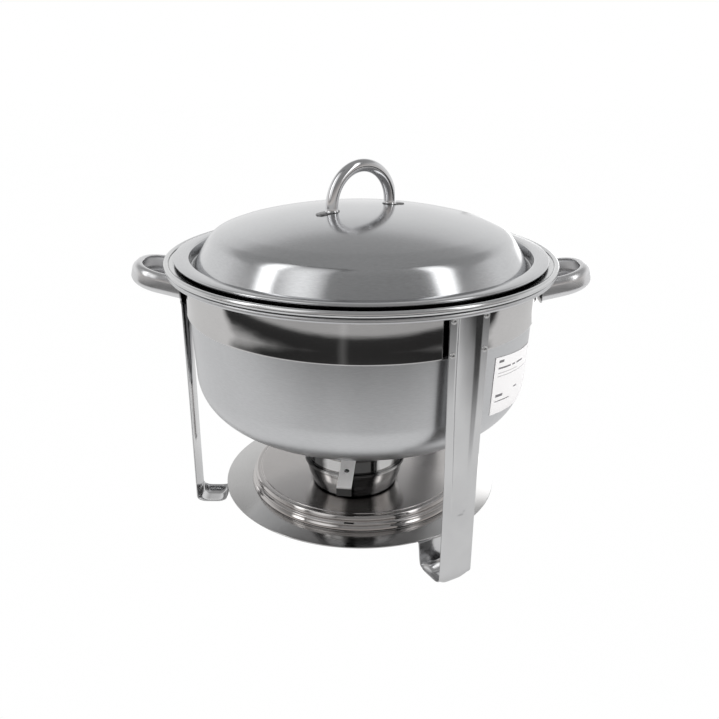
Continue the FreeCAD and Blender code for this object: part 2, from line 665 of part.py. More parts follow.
def burner_cover():
    """The cap on the cup: a flame hole in its top, an upright wall and a flange on the cup's rim."""
    return on_burner(spun("burner_cover", [
        ("cover_hole", "cover_top - pan_gauge"),
        ("cover_hole", "cover_top"),
        ("cover_radius", "cover_top"),
        ("cover_radius", "cover_seat + pan_gauge"),
        ("cover_flange", "cover_seat + pan_gauge"),
        ("cover_flange", "cover_seat"),
        ("cover_radius - pan_gauge", "cover_seat"),
        ("cover_radius - pan_gauge", "cover_top - pan_gauge"),
    ]))


def damper():
    """The swinging damper: a disc over the flame hole, its pivot eye, and a strip with a turned tip."""
    body = new_body("damper")
    low = "cover_top + damper_play"
    plan = sketch_on(body, "damper_plan", "XY_Plane", lift=low)
    circle(plan, "0", "0", "damper_disc")
    pad(body, "damper_disc", plan, "damper_gauge")
    strap = sketch_on(body, "damper_strap_plan", "XY_Plane", lift=low)
    outline(strap, [
        ("-damper_pivot", "-damper_ear"),
        ("-damper_pivot", "damper_ear"),
        ("damper_bend", "damper_half"),
        ("damper_bend", "-damper_half"),
    ])
    pad(body, "damper_strap", strap, "damper_gauge")
    eye = sketch_on(body, "damper_eye_plan", "XY_Plane", lift=low)
    circle(eye, "-damper_pivot", "0", "damper_ear")
    pad(body, "damper_eye", eye, "damper_gauge")
    handle = sketch_on(body, "damper_handle_side", "XZ_Plane")
    fold = "damper_gauge * tan(damper_fall / 2)"
    outline(handle, [
        (f"damper_bend - 2 * {fold}", low),
        (f"damper_bend - 2 * {fold}", low + " + damper_gauge"),
        ("damper_bend", low + " + damper_gauge"),
        ("damper_tip", low + " + damper_gauge - (damper_tip - damper_bend) * tan(damper_fall)"),
        ("damper_tip", "damper_foot"),
        ("damper_tip - damper_gauge", "damper_foot"),
        ("damper_tip - damper_gauge",
         f"{low} - (damper_tip - damper_gauge - damper_bend + {fold}) * tan(damper_fall)"),
        (f"damper_bend - {fold}", low),
    ])
    pad(body, "damper_handle", handle, "2 * damper_half", midplane=True)
    for name, place, radius in (("damper_pivot_hole", "-damper_pivot", "pivot_radius + pivot_play"),
                                ("damper_finger_eye", "damper_eye_place", "damper_eye")):
        hole = sketch_on(body, name + "_plan", "XY_Plane")
        circle(hole, place, "0", radius)
        pocket(body, name, hole, "4 * cover_top", midplane=True)
    return on_burner(body, -size("damper_azimuth"))


def damper_rivet():
    """The headed pin that the damper turns on, fixed in the cover."""
    foot = "cover_top - pan_gauge"
    seat = "cover_top + 2 * damper_play + damper_gauge"
    body = spun("damper_rivet", [
        ("0", foot),
        ("pivot_radius", foot),
        ("pivot_radius", seat),
        ("pivot_head", seat),
        ("pivot_head - 1", seat + " + pivot_head_height"),
        ("0", seat + " + pivot_head_height"),
    ])
    return on_burner(body, -size("damper_azimuth"), -size("damper_pivot"))


# ---------------------------------------------------------------- assembly

LEG_PLACES = {
    "leg_front_right": size("leg_azimuth"),
    "leg_back": size("leg_azimuth") + 120,
    "leg_left": size("leg_azimuth") - 120,
}
GRIP_PLACES = {"right": 90, "left": -90}

sub_parts = [stand_ring()]
sub_parts += [leg(label, azimuth) for label, azimuth in LEG_PLACES.items()]
sub_parts.append(leg_rivets(LEG_PLACES.values()))
sub_parts.append(base_ring())
sub_parts.append(burner_tray())
for side_name, side_azimuth in GRIP_PLACES.items():
    sub_parts.append(side_handle("side_handle_" + side_name, side_azimuth))
    sub_parts.append(handle_plate("handle_ears_" + side_name, side_azimuth))
sub_parts.append(handle_rivets(GRIP_PLACES.values()))
sub_parts += [water_pan(), label_sheet(), food_pan(), lid(), lid_handle(), lid_handle_tabs()]
sub_parts += [fuel_cup(), burner_cover(), damper(), damper_rivet()]
doc.recompute()

for thing in doc.Objects:
    if "Invalid" in thing.State or "Error" in thing.State:
        raise RuntimeError(f"{thing.Label} failed: {thing.State}")
for sub_part in sub_parts:
    shape = sub_part.Shape
    if shape.isNull() or not shape.isValid():
        raise RuntimeError(f"{sub_part.Label} has no valid shape")
for sub_part in sub_parts:
    sub_part.Shape.exportStep(f"parts/{sub_part.Label}.step")
    box = sub_part.Shape.BoundBox
    print(f"{sub_part.Label:18s} solids {len(sub_part.Shape.Solids):2d} "
          f"volume {sub_part.Shape.Volume / 1000:8.1f} cm3  "
          f"x {box.XMin:7.1f} {box.XMax:7.1f}  y {box.YMin:7.1f} {box.YMax:7.1f}  "
          f"z {box.ZMin:6.1f} {box.ZMax:6.1f}")
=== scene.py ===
import math

import bpy
import bmesh
from mathutils import Matrix, Vector


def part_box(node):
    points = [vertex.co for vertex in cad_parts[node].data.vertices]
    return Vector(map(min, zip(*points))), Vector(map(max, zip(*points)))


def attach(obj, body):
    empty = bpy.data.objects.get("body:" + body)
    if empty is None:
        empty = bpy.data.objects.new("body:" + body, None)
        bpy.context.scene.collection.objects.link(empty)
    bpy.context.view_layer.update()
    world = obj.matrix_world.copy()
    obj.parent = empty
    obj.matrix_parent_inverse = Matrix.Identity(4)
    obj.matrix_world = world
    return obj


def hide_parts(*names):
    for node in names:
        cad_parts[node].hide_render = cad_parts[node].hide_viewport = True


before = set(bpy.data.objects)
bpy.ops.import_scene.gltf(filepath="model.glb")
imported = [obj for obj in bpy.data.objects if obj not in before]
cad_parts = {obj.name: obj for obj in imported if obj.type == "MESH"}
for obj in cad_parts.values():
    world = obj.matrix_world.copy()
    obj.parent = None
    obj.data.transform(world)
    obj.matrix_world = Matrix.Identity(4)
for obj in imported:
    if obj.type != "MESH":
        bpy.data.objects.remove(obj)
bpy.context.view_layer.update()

# Lengths in the shape functions are millimetres in the object's frame; meshes are made in metres.
MM = 0.001
TURN_STEPS = 224
SMOOTH_BELOW = 38
NOSE_DEGREES = (36, 72, 108, 144)


def node_box(name):
    """The lowest and highest corner of a piece's solid, in millimetres."""
    low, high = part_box(name)
    return [c / MM for c in low], [c / MM for c in high]


def middle_of(low, high):
    """The point (first, second) halfway between two corners."""
    return (low[0] + high[0]) / 2, (low[1] + high[1]) / 2


# ------------ outlines

def rounded(corners, steps=7):
    """A line through corners (across, up) or (across, up, radius) with those corners rounded."""
    line = []
    for number, corner in enumerate(corners):
        here = Vector(corner[:2])
        inner = 0 < number < len(corners) - 1
        if len(corner) < 3 or not inner:
            line.append(here)
            continue
        before = Vector(corners[number - 1][:2])
        after = Vector(corners[number + 1][:2])
        way_in = (before - here).normalized()
        way_out = (after - here).normalized()
        half = way_in.angle(way_out) / 2
        back = corner[2] / math.tan(half)
        centre = here + (way_in + way_out).normalized() * (corner[2] / math.sin(half))
        first = here + way_in * back - centre
        last = here + way_out * back - centre
        sweep = first.angle_signed(last)
        for step in range(steps + 1):
            turned = first.copy()
            turned.rotate(Matrix.Rotation(-sweep * step / steps, 2))
            line.append(centre + turned)
    return line


def arc(centre, radius, start, end, steps):
    """Points on a circle between two angles in degrees."""
    points = []
    for step in range(steps + 1):
        angle = math.radians(start + (end - start) * step / steps)
        points.append(Vector((centre[0] + radius * math.cos(angle), centre[1] + radius * math.sin(angle))))
    return points


def offset(line, distance):
    """The line moved to its left by a distance."""
    moved = []
    for number, here in enumerate(line):
        before = line[max(number - 1, 0)]
        after = line[min(number + 1, len(line) - 1)]
        way_in = (here - before) if number else (after - here)
        way_out = (after - here) if number < len(line) - 1 else way_in
        way_in = way_in.normalized()
        way_out = way_out.normalized()
        normal_in = Vector((-way_in.y, way_in.x))
        normal_out = Vector((-way_out.y, way_out.x))
        mitre = (normal_in + normal_out).normalized()
        moved.append(here + mitre * (distance / max(mitre.dot(normal_in), 0.5)))
    return moved


def along_line(line):
    """Each point of a line with its number and the way the line runs there."""
    for number, point in enumerate(line):
        before = line[max(number - 1, 0)]
        after = line[min(number + 1, len(line) - 1)]
        yield number, point, (after - before).normalized()


def tidy_line(line, least=0.02):
    """The line without points that fall on their neighbour."""
    kept = [line[0]]
    for point in line[1:]:
        if (point - kept[-1]).length > least:
            kept.append(point)
    return kept


def round_end(end, inner, gauge):
    """The points between the corners of a sheet's free end, from its left side to its right."""
    way = (end - inner).normalized()
    side = Vector((-way.y, way.x))
    return [end + (way * math.sin(a) + side * math.cos(a)) * gauge / 2
            for a in (math.radians(d) for d in NOSE_DEGREES)]


def sheet_section(spine, gauge, to_axis=True):
    """The outline of a sheet along a spine; its free ends are round, an end on the axis stays open."""
    spine = tidy_line(spine)
    left = offset(spine, gauge / 2)
    right = offset(spine, -gauge / 2)
    outline = right[::-1] + round_end(spine[0], spine[1], gauge) + left
    if to_axis:
        outline[0] = Vector((0, outline[0].y))
        outline[-1] = Vector((0, outline[-1].y))
        return outline
    return outline + round_end(spine[-1], spine[-2], gauge)


# ------------ meshes

def in_scene(name, data):
    """A new object that holds the data, linked to the scene."""
    made = bpy.data.objects.new(name, data)
    bpy.context.scene.collection.objects.link(made)
    return made


def shade_smooth(mesh, sharp):
    """Smooth shading but for edges over an angle in degrees."""
    for polygon in mesh.polygons:
        polygon.use_smooth = True
    mesh.set_sharp_from_angle(angle=math.radians(sharp))


def mesh_piece(name, mesh_tool, sharp):
    """A mesh object from a bmesh, which is used up."""
    mesh = bpy.data.meshes.new(name)
    mesh_tool.to_mesh(mesh)
    mesh_tool.free()
    shade_smooth(mesh, sharp)
    return in_scene(name, mesh)


def finish_mesh(name, mesh_tool, sharp=SMOOTH_BELOW):
    """The same with its faces turned outward."""
    bmesh.ops.recalc_face_normals(mesh_tool, faces=mesh_tool.faces)
    return mesh_piece(name, mesh_tool, sharp)


def lathe(name, outline, steps=TURN_STEPS, centre=(0, 0), sharp=SMOOTH_BELOW):
    """A closed outline (across, up) turned about an upright axis."""
    tool = bmesh.new()
    rings = []
    for point in outline:
        across, up = point[0], point[1]
        if across < 1e-6:
            rings.append([tool.verts.new((centre[0] * MM, centre[1] * MM, up * MM))])
            continue
        ring = []
        for step in range(steps):
            angle = math.radians(360 * step / steps)
            ring.append(tool.verts.new(((centre[0] + across * math.cos(angle)) * MM,
                                        (centre[1] + across * math.sin(angle)) * MM, up * MM)))
        rings.append(ring)
    for number, ring in enumerate(rings):
        other = rings[(number + 1) % len(rings)]
        if len(ring) == 1 and len(other) == 1:
            continue
        for step in range(steps):
            nxt = (step + 1) % steps
            if len(ring) == 1:
                tool.faces.new((ring[0], other[step], other[nxt]))
            elif len(other) == 1:
                tool.faces.new((ring[step], ring[nxt], other[0]))
            else:
                tool.faces.new((ring[step], ring[nxt], other[nxt], other[step]))
    return finish_mesh(name, tool, sharp)


def loft(name, loops, sharp=SMOOTH_BELOW):
    """A closed skin through loops of 3-D points in millimetres, capped at its two ends."""
    tool = bmesh.new()
    rows = [[tool.verts.new(Vector(p) * MM) for p in loop] for loop in loops]
    count = len(rows[0])
    for row, other in zip(rows, rows[1:]):
        for k in range(count):
            nxt = (k + 1) % count
            tool.faces.new((row[k], row[nxt], other[nxt], other[k]))
    tool.faces.new(rows[0])
    tool.faces.new(rows[-1][::-1])
    return finish_mesh(name, tool, sharp)


def join(name, pieces):
    """Separate solids as one piece."""
    tool = bmesh.new()
    for piece in pieces:
        tool.from_mesh(piece.data)
        bpy.data.objects.remove(piece)
    return mesh_piece(name, tool, SMOOTH_BELOW)


def place(piece, matrix):
    """Moves a piece's own points by a matrix whose lengths are millimetres."""
    metre = matrix.copy()
    metre.translation = metre.translation * MM
    piece.data.transform(metre)
    return piece


def around(azimuth):
    """The turn that takes +X to an azimuth measured from the front (-Y) towards +X."""
    return Matrix.Rotation(math.radians(azimuth - 90), 4, "Z")


# ------------ materials

# Scales and strengths of the marks on the steel; distances are metres.
CLOUD_SCALE = 14.0
WAVE_SCALE = 22.0
BRUSH_SCALE = 1500
# How far the painted crevice shade reaches.
CREVICE_WIDTH = 0.007
BUMP_HEIGHT = 0.0006


def nodes_of(name):
    """A new material with its node tree and its shader."""
    material = bpy.data.materials.new(name)
    material.use_nodes = True
    tree = material.node_tree
    return material, tree, tree.nodes["Principled BSDF"]


def add(tree, kind, **settings):
    """A new node with some of its settings."""
    node = tree.nodes.new(kind)
    for key, value in settings.items():
        setattr(node, key, value)
    return node


def math_node(tree, operation, first, second=None, third=None):
    """The output of a math node fed with numbers or other outputs."""
    node = add(tree, "ShaderNodeMath", operation=operation)
    for slot_number, value in enumerate((first, second, third)):
        if value is None:
            continue
        if isinstance(value, (int, float)):
            node.inputs[slot_number].default_value = value
        else:
            tree.links.new(value, node.inputs[slot_number])
    return node.outputs[0]


def clamped(tree, operation, first, second=None, third=None):
    """The same, held between 0 and 1."""
    out = math_node(tree, operation, first, second, third)
    out.node.use_clamp = True
    return out


def ramp(tree, factor, stops):
    """A colour ramp of greys: stops are (place, grey or colour)."""
    node = add(tree, "ShaderNodeValToRGB")
    elements = node.color_ramp.elements
    for number, (where, colour) in enumerate(stops):
        element = elements[number] if number < 2 else elements.new(where)
        element.position = where
        grey = (colour, colour, colour) if isinstance(colour, (int, float)) else colour
        element.color = (*grey, 1)
    tree.links.new(factor, node.inputs[0])
    return node.outputs[0]


def noise(tree, vector, scale, detail=3.0, roughness=0.5):
    """Soft random marks from 0 to 1."""
    node = add(tree, "ShaderNodeTexNoise")
    node.inputs["Scale"].default_value = scale
    node.inputs["Detail"].default_value = detail
    node.inputs["Roughness"].default_value = roughness
    tree.links.new(vector, node.inputs["Vector"])
    return node.outputs["Fac"]


def hypotenuse(tree, first, second):
    """The root of the sum of two squares."""
    squares = [math_node(tree, "MULTIPLY", value, value) for value in (first, second)]
    return math_node(tree, "SQRT", math_node(tree, "ADD", *squares))


def split(tree, vector):
    """The three parts of a vector output."""
    node = add(tree, "ShaderNodeSeparateXYZ")
    tree.links.new(vector, node.inputs[0])
    return node.outputs


def bumped(tree, shader, height, strength, distance):
    """Presses a height output into a shader's normal."""
    bump = add(tree, "ShaderNodeBump")
    bump.inputs["Strength"].default_value = strength
    bump.inputs["Distance"].default_value = distance
    tree.links.new(height, bump.inputs["Height"])
    tree.links.new(bump.outputs[0], shader.inputs["Normal"])


def mixed_colour(tree, factor, first, second, blend="MIX"):
    """A colour between two outputs, or their product with the blend MULTIPLY."""
    node = add(tree, "ShaderNodeMix", data_type="RGBA", blend_type=blend)
    for name, value in (("Factor", factor), ("A", first), ("B", second)):
        if isinstance(value, (float, tuple)):
            node.inputs[name].default_value = value
        else:
            tree.links.new(value, node.inputs[name])
    return node.outputs["Result"]


def turned_lines(tree):
    """Coordinates (radius, height, a little of the azimuth) for marks left by a lathe or a brush."""
    place_node = add(tree, "ShaderNodeTexCoord").outputs["Object"]
    x, y, z = split(tree, place_node)
    radius = hypotenuse(tree, x, y)
    azimuth = math_node(tree, "ARCTAN2", y, x)
    together = add(tree, "ShaderNodeCombineXYZ")
    tree.links.new(radius, together.inputs[0])
    tree.links.new(z, together.inputs[1])
    tree.links.new(math_node(tree, "MULTIPLY", azimuth, 0.02), together.inputs[2])
    return together.outputs[0], place_node


def steel(name, colour, rough, brushed=0.0, waviness=0.0, anisotropy=0.0, smudge=0.25):
    """Stainless steel: colour, base roughness, turned brush lines, slow waves, faint smudges and painted
    shade in its crevices.
    """
    material, tree, shader = nodes_of(name)
    turned, place_node = turned_lines(tree)
    shader.inputs["Metallic"].default_value = 1.0
    if anisotropy:
        shader.inputs["Anisotropic"].default_value = anisotropy
        tangent = add(tree, "ShaderNodeTangent", direction_type="RADIAL", axis="Z")
        tree.links.new(tangent.outputs[0], shader.inputs["Tangent"])
    cloud = noise(tree, place_node, CLOUD_SCALE, 4.0, 0.55)
    fine = noise(tree, turned, BRUSH_SCALE, 2.0, 0.6)
    mixed = math_node(tree, "ADD", math_node(tree, "MULTIPLY", fine, brushed),
                      math_node(tree, "MULTIPLY", cloud, 1.0 - brushed))
    light = tuple(min(c * 1.07, 1.0) for c in colour)
    dark = tuple(c * 0.93 for c in colour)
    # Painted shade: the colour is darkened in crevices, gaps and recesses, where shade falls.
    crevice = add(tree, "ShaderNodeAmbientOcclusion", samples=6)
    crevice.inputs["Distance"].default_value = CREVICE_WIDTH
    crevice_shade = ramp(tree, crevice.outputs["AO"], ((0.22, 0.06), (0.62, 1.0)))
    tone = mixed_colour(tree, 1.0, ramp(tree, mixed, ((0.3, dark), (0.7, light))), crevice_shade, "MULTIPLY")
    tree.links.new(tone, shader.inputs["Base Color"])
    low, high = rough * (1 - smudge), rough * (1 + smudge)
    grain = math_node(tree, "MULTIPLY_ADD", mixed, high - low, low)
    tree.links.new(grain, shader.inputs["Roughness"])
    height = math_node(tree, "ADD", math_node(tree, "MULTIPLY", fine, brushed * 0.25),
                       math_node(tree, "MULTIPLY", noise(tree, place_node, WAVE_SCALE, 2.0), waviness))
    bumped(tree, shader, height, 0.12, BUMP_HEIGHT)
    return material


def darkened(material, share):
    """Multiplies a material's colour by a 0 to 1 output of its own node tree."""
    tree = material.node_tree
    base = tree.nodes["Principled BSDF"].inputs["Base Color"]
    tree.links.new(mixed_colour(tree, 1.0, base.links[0].from_socket, share, "MULTIPLY"), base)


# Bands of painted reflection per radian round the burner.
STREAKS_PER_RADIAN = 5.6


def painted_reflection_streaks(material, centre):
    """Adds upright dark streaks of painted reflection to a steel, round an axis at a centre in millimetres.
    """
    tree = material.node_tree
    spot = add(tree, "ShaderNodeTexCoord").outputs["Object"]
    x, y, _ = split(tree, spot)
    bearing = math_node(tree, "ARCTAN2", math_node(tree, "SUBTRACT", x, centre[0] * MM),
                        math_node(tree, "SUBTRACT", centre[1] * MM, y))
    uneven = math_node(tree, "MULTIPLY_ADD", noise(tree, spot, 60.0, 3.0), 1.2, -1.28)
    wave = math_node(tree, "COSINE", math_node(tree, "MULTIPLY_ADD", bearing, STREAKS_PER_RADIAN, uneven))
    bare = math_node(tree, "MULTIPLY_ADD", wave, -0.5, 0.5)
    # Painted reflection: the colour is darkened in upright bands round the axis.
    darkened(material, ramp(tree, bare, ((0.5, 0.12), (0.85, 1.0))))


def polished_below(material, height, share):
    """Cuts a steel's roughness to a share of it below a height in millimetres."""
    tree = material.node_tree
    rough = tree.nodes["Principled BSDF"].inputs["Roughness"]
    up = split(tree, add(tree, "ShaderNodeTexCoord").outputs["Object"])[2]
    satin = clamped(tree, "MULTIPLY_ADD", up, 1 / MM, -height)
    factor = math_node(tree, "MULTIPLY_ADD", satin, 1.0 - share, share)
    tree.links.new(math_node(tree, "MULTIPLY", rough.links[0].from_socket, factor), rough)


# Heights in metres between which the damper's turned-down tip goes from black to bare.
TIP_BLACK, TIP_BARE = 0.0842, 0.0858


def dull_with_painted_shade(material, metallic, eye):
    """Dulls a steel, paints shade on its underside and in its eye, and darkens its turned-down tip to black.
    """
    tree = material.node_tree
    shader = tree.nodes["Principled BSDF"]
    shader.inputs["Metallic"].default_value = metallic
    shader.inputs["Specular IOR Level"].default_value = 0.2
    spot = add(tree, "ShaderNodeTexCoord")
    x, y, z = split(tree, spot.outputs["Object"])
    # Painted shade: faces turned downward are darkened.
    upper = clamped(tree, "MULTIPLY_ADD", split(tree, spot.outputs["Normal"])[2], 6.0, 1.6)
    # The turned-down tip goes to black below a height.
    tip_fade = add(tree, "ShaderNodeMapRange")
    tip_fade.inputs["From Min"].default_value = TIP_BLACK
    tip_fade.inputs["From Max"].default_value = TIP_BARE
    tip_fade.inputs["To Min"].default_value = 0.04
    tree.links.new(z, tip_fade.inputs["Value"])
    # Painted shade: the walls of the eye and a thin ring round it are darkened.
    off_eye = hypotenuse(tree, math_node(tree, "SUBTRACT", x, eye[0] * MM),
                         math_node(tree, "SUBTRACT", y, eye[1] * MM))
    open_metal = clamped(tree, "MULTIPLY_ADD", off_eye, 4000.0, -9.2)
    bare = math_node(tree, "MULTIPLY", tip_fade.outputs["Result"], open_metal)
    darkened(material, math_node(tree, "MULTIPLY", bare, upper))


def paper():
    """Matt coated paper with plain grey bars where a real label has its print."""
    material, tree, shader = nodes_of("paper_label")
    uv = add(tree, "ShaderNodeUVMap", uv_map="face").outputs[0]
    across, up, _ = split(tree, uv)

    def between(value, low, high):
        above = math_node(tree, "GREATER_THAN", value, low)
        return math_node(tree, "MULTIPLY", above, math_node(tree, "LESS_THAN", value, high))

    ink = None
    for left, right, bottom, top in LABEL_BARS:
        bar = math_node(tree, "MULTIPLY", between(across, left, right), between(up, bottom, top))
        ink = bar if ink is None else math_node(tree, "MAXIMUM", ink, bar)
    stretched = add(tree, "ShaderNodeMapping")
    stretched.inputs["Scale"].default_value = (60, 45, 1)
    tree.links.new(uv, stretched.inputs["Vector"])
    fibre = noise(tree, stretched.outputs[0], 3.0, 5.0, 0.6)
    white = ramp(tree, fibre, ((0.2, (0.84, 0.84, 0.85)), (0.8, (0.92, 0.92, 0.93))))
    tree.links.new(mixed_colour(tree, ink, white, (0.16, 0.16, 0.17, 1.0)), shader.inputs["Base Color"])
    tree.links.new(math_node(tree, "MULTIPLY_ADD", fibre, 0.1, 0.5), shader.inputs["Roughness"])
    bumped(tree, shader, fibre, 0.1, 0.0001)
    return material


# Plain bars on the label as (left, right, bottom, top) shares of its width and height.
LABEL_BARS = [
    (0.07, 0.17, 0.90, 0.945),
    (0.07, 0.34, 0.79, 0.82),
    (0.38, 0.46, 0.79, 0.82),
    (0.50, 0.70, 0.79, 0.82),
    (0.07, 0.52, 0.715, 0.722),
    (0.07, 0.93, 0.66, 0.667),
    (0.50, 0.60, 0.36, 0.385),
    (0.07, 0.22, 0.30, 0.345),
    (0.07, 0.40, 0.215, 0.232),
]


def paint(piece, material):
    """Gives a piece its one material."""
    piece.data.materials.clear()
    piece.data.materials.append(material)


SATIN_LID = steel("satin_lid", (0.58, 0.585, 0.595), 0.15, brushed=0.7, anisotropy=0.4, smudge=0.15)
SATIN_PAN = steel("satin_pan", (0.60, 0.605, 0.615), 0.30, brushed=0.7, anisotropy=0.3, smudge=0.15)
POLISHED_PAN = steel("polished_pan", (0.66, 0.665, 0.67), 0.16, brushed=0.5, smudge=0.2)
BAND = steel("polished_band", (0.60, 0.59, 0.585), 0.07, brushed=0.3, waviness=0.5, smudge=0.3)
LEG = steel("stamped_leg", (0.64, 0.64, 0.645), 0.13, waviness=0.9, smudge=0.3)
MIRROR = steel("mirror_base", (0.62, 0.615, 0.61), 0.15, brushed=0.3, waviness=0.35, smudge=0.3)
TRAY = steel("tray_steel", (0.56, 0.54, 0.53), 0.21, brushed=0.6, waviness=0.3, smudge=0.25)
CHROME = steel("handle_chrome", (0.66, 0.66, 0.67), 0.1, waviness=0.5, smudge=0.3)
GRIP = steel("handle_satin", (0.74, 0.74, 0.75), 0.27, waviness=0.5, smudge=0.2)
# Painted shadow: the tabs' steel is made dark to stand for the shadow line along them on the crown.
TAB = steel("tab_shadow_steel", (0.2, 0.2, 0.205), 0.3, waviness=0.4)
RIVET = steel("rivet_steel", (0.6, 0.6, 0.6), 0.18, waviness=0.4)
BURNER_STEEL = steel("burner_steel", (0.6, 0.595, 0.59), 0.09, brushed=0.4, waviness=0.3, smudge=0.3)
DAMPER = steel("damper_steel", (0.93, 0.925, 0.92), 0.45, waviness=0.6, smudge=0.2)
PAPER = paper()


# ------------ stand

STAND_LOW, STAND_HIGH = node_box("stand_ring")
BAND_RADIUS = STAND_HIGH[0]
BAND_TOP = STAND_HIGH[2]
BAND_BOTTOM = STAND_LOW[2]
BAND_GAUGE = 1.1
LEG_HIGH = node_box("leg_left")[1][2]
LEG_FACE = -node_box("leg_left")[0][0] + 0.02
BASE_LOW, BASE_HIGH = node_box("base_ring")
BASE_RADIUS = BASE_HIGH[0]
LEG_PLACES = {"leg_front_right": 30.4, "leg_back": 150.4, "leg_left": -89.6}


def stand_ring():
    """The band: a rolled sheet whose lower edge is folded inward and bulges a hair outward."""
    middle = BAND_RADIUS - BAND_GAUGE / 2
    spine = [Vector((middle - 1.15, BAND_BOTTOM + 6.0)), Vector((middle - 1.15, BAND_BOTTOM + 1.6))]
    spine += arc((middle - 0.475, BAND_BOTTOM + 1.5), 0.675, 180, 360, 10)
    spine += [Vector((middle + 0.2, BAND_BOTTOM + 2.2)), Vector((middle, BAND_BOTTOM + 3.6)),
              Vector((middle, BAND_BOTTOM + 12.0)), Vector((middle, BAND_TOP - 0.6))]
    piece = lathe("band_skin", sheet_section(spine, BAND_GAUGE, to_axis=False))
    paint(piece, BAND)
    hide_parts("stand_ring")
    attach(piece, "stand")


def smooth_step(value):
    """0 below 0, 1 above 1, and a soft rise between."""
    value = min(max(value, 0.0), 1.0)
    return value * value * (3 - 2 * value)


LEG_GAUGE = 1.2
FOOT_BEND = 12.0
FOOT_INNER = 147.0
FOOT_LEAN = 5.0
TAB_END = 130.0
TROUGH_SLOPE = 3.8
TROUGH_FOOT = 75.0
STRIP_LIP = 0.35
STRIP_STEPS = 44


def trough_depth(side, up):
    """How far the leg's face is pressed in, at a distance from its middle line and a height."""
    rise = smooth_step((up - TROUGH_FOOT) / 150)
    half = 8.6 + 2.4 * rise
    end = TROUGH_FOOT + half
    away = math.hypot(side, end - up) if up < end else abs(side)
    wall = smooth_step((half + TROUGH_SLOPE / 2 - away) / TROUGH_SLOPE)
    hollow = 1.0 - 0.3 * min(abs(side) / half, 1.0) ** 2
    return (1.5 + 1.7 * rise) * wall * hollow


def leg_half(up):
    """Half of the leg's width at a height."""
    return 18.1 + 2.6 * smooth_step((up - 90) / 175)


def leg_line():
    """The side view of the strip's outer face, from the top down round the foot to the tab."""
    tab = BASE_LOW[2] - LEG_GAUGE
    corners = [(LEG_FACE, LEG_HIGH), (LEG_FACE, 0, FOOT_BEND), (FOOT_INNER, 0, FOOT_BEND),
               (FOOT_INNER - FOOT_LEAN, tab, 2.4), (TAB_END, tab)]
    bare = tidy_line(rounded(corners, 12))
    dense = []
    for start, end in zip(bare, bare[1:]):
        parts = max(1, int((end - start).length / 3.0))
        dense += [start.lerp(end, k / parts) for k in range(parts)]
    return dense + [bare[-1]]


def corner_lift(side, up):
    """How far the foot's bend is rounded up towards the two edges of the strip."""
    return 6.0 * smooth_step((abs(side) - 5.0) / 13.0) ** 1.5 * max(1.0 - up / 18.0, 0.0) ** 2


def leg(name, azimuth):
    """One stamped strip with its pressed trough, rounded edges, U foot and tab."""
    line = leg_line()
    inner = offset(line, -LEG_GAUGE)
    shares = [-1 + 2 * k / STRIP_STEPS for k in range(STRIP_STEPS + 1)]
    loops = []
    for face, back in zip(line, inner):
        on_shank = face.x > LEG_FACE - 0.01
        half = leg_half(face.y) if on_shank else leg_half(0)
        inward = (back - face).normalized()
        outer_row, inner_row = [], []
        for share in shares:
            side = share * (half - STRIP_LIP)
            depth = trough_depth(side, face.y) if on_shank else 0.0
            for row, start in ((outer_row, face), (inner_row, back)):
                point = start + inward * depth
                row.append((point.x, side, point.y))
        near, middle, far = (face.lerp(back, share) for share in (0.22, 0.5, 0.78))
        right = [(near.x, half - 0.08, near.y), (middle.x, half, middle.y), (far.x, half - 0.08, far.y)]
        left = [(x, -y, z) for x, y, z in right[::-1]]
        around_strip = outer_row + right + inner_row[::-1] + left
        loops.append([(x, y, z + corner_lift(y, z)) for x, y, z in around_strip])
    piece = place(loft(name + "_skin", loops, sharp=32), around(azimuth))
    paint(piece, LEG)
    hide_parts(name)
    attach(piece, "stand")


def ring_rivet(name, radius, height):
    """A hollow rivet: a raised ring round a sunk middle, standing on its own z = 0."""
    outline = rounded([(0, -0.6), (radius * 0.96, -0.6), (radius, 0.0, 0.1),
                       (radius * 0.86, height * 0.8, 0.3), (radius * 0.62, height, 0.4),
                       (radius * 0.36, height * 0.72, 0.3), (radius * 0.26, 0.06, 0.12), (0, 0.0)], 4)
    return lathe(name, outline, steps=40, sharp=60)


def rivet_seat(azimuth, across, side, up):
    """The place of a rivet on an upright face: it carries the rivet's own Z to the outward way."""
    face = Matrix.Translation((across, side, up)) @ Matrix.Rotation(math.pi / 2, 4, "Y")
    return around(azimuth) @ face


RIVET_SIDE = 16.6
RIVET_HEIGHTS = (234.8, 264.8)


def leg_rivets():
    """Four hollow rivets on the top of each leg."""
    pieces = []
    for azimuth in LEG_PLACES.values():
        for side in (-RIVET_SIDE, RIVET_SIDE):
            for height in RIVET_HEIGHTS:
                seat = rivet_seat(azimuth, LEG_FACE, side, height)
                pieces.append(place(ring_rivet("rivet", 3.1, 1.15), seat))
    whole = join("leg_rivet_heads", pieces)
    paint(whole, RIVET)
    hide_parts("leg_rivets")
    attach(whole, "stand")


def base_ring():
    """The flat ring with a round edge."""
    low, high = BASE_LOW[2], BASE_HIGH[2]
    hole = 100.0
    edge = (high - low) * 0.45
    outline = rounded([(hole + 5, high), (hole, high, edge), (hole, low, edge), (BASE_RADIUS, low, edge),
                       (BASE_RADIUS, high, edge), (hole + 5, high)], 5)
    piece = lathe("base_ring_skin", tidy_line(outline)[:-1])
    paint(piece, MIRROR)
    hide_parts("base_ring")
    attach(piece, "stand")


TRAY_TOP = node_box("burner_tray")[1][2]
TRAY_EDGE = 113.4
TRAY_GAUGE = 0.9
polished_below(TRAY, TRAY_TOP - 1.5, 0.3)


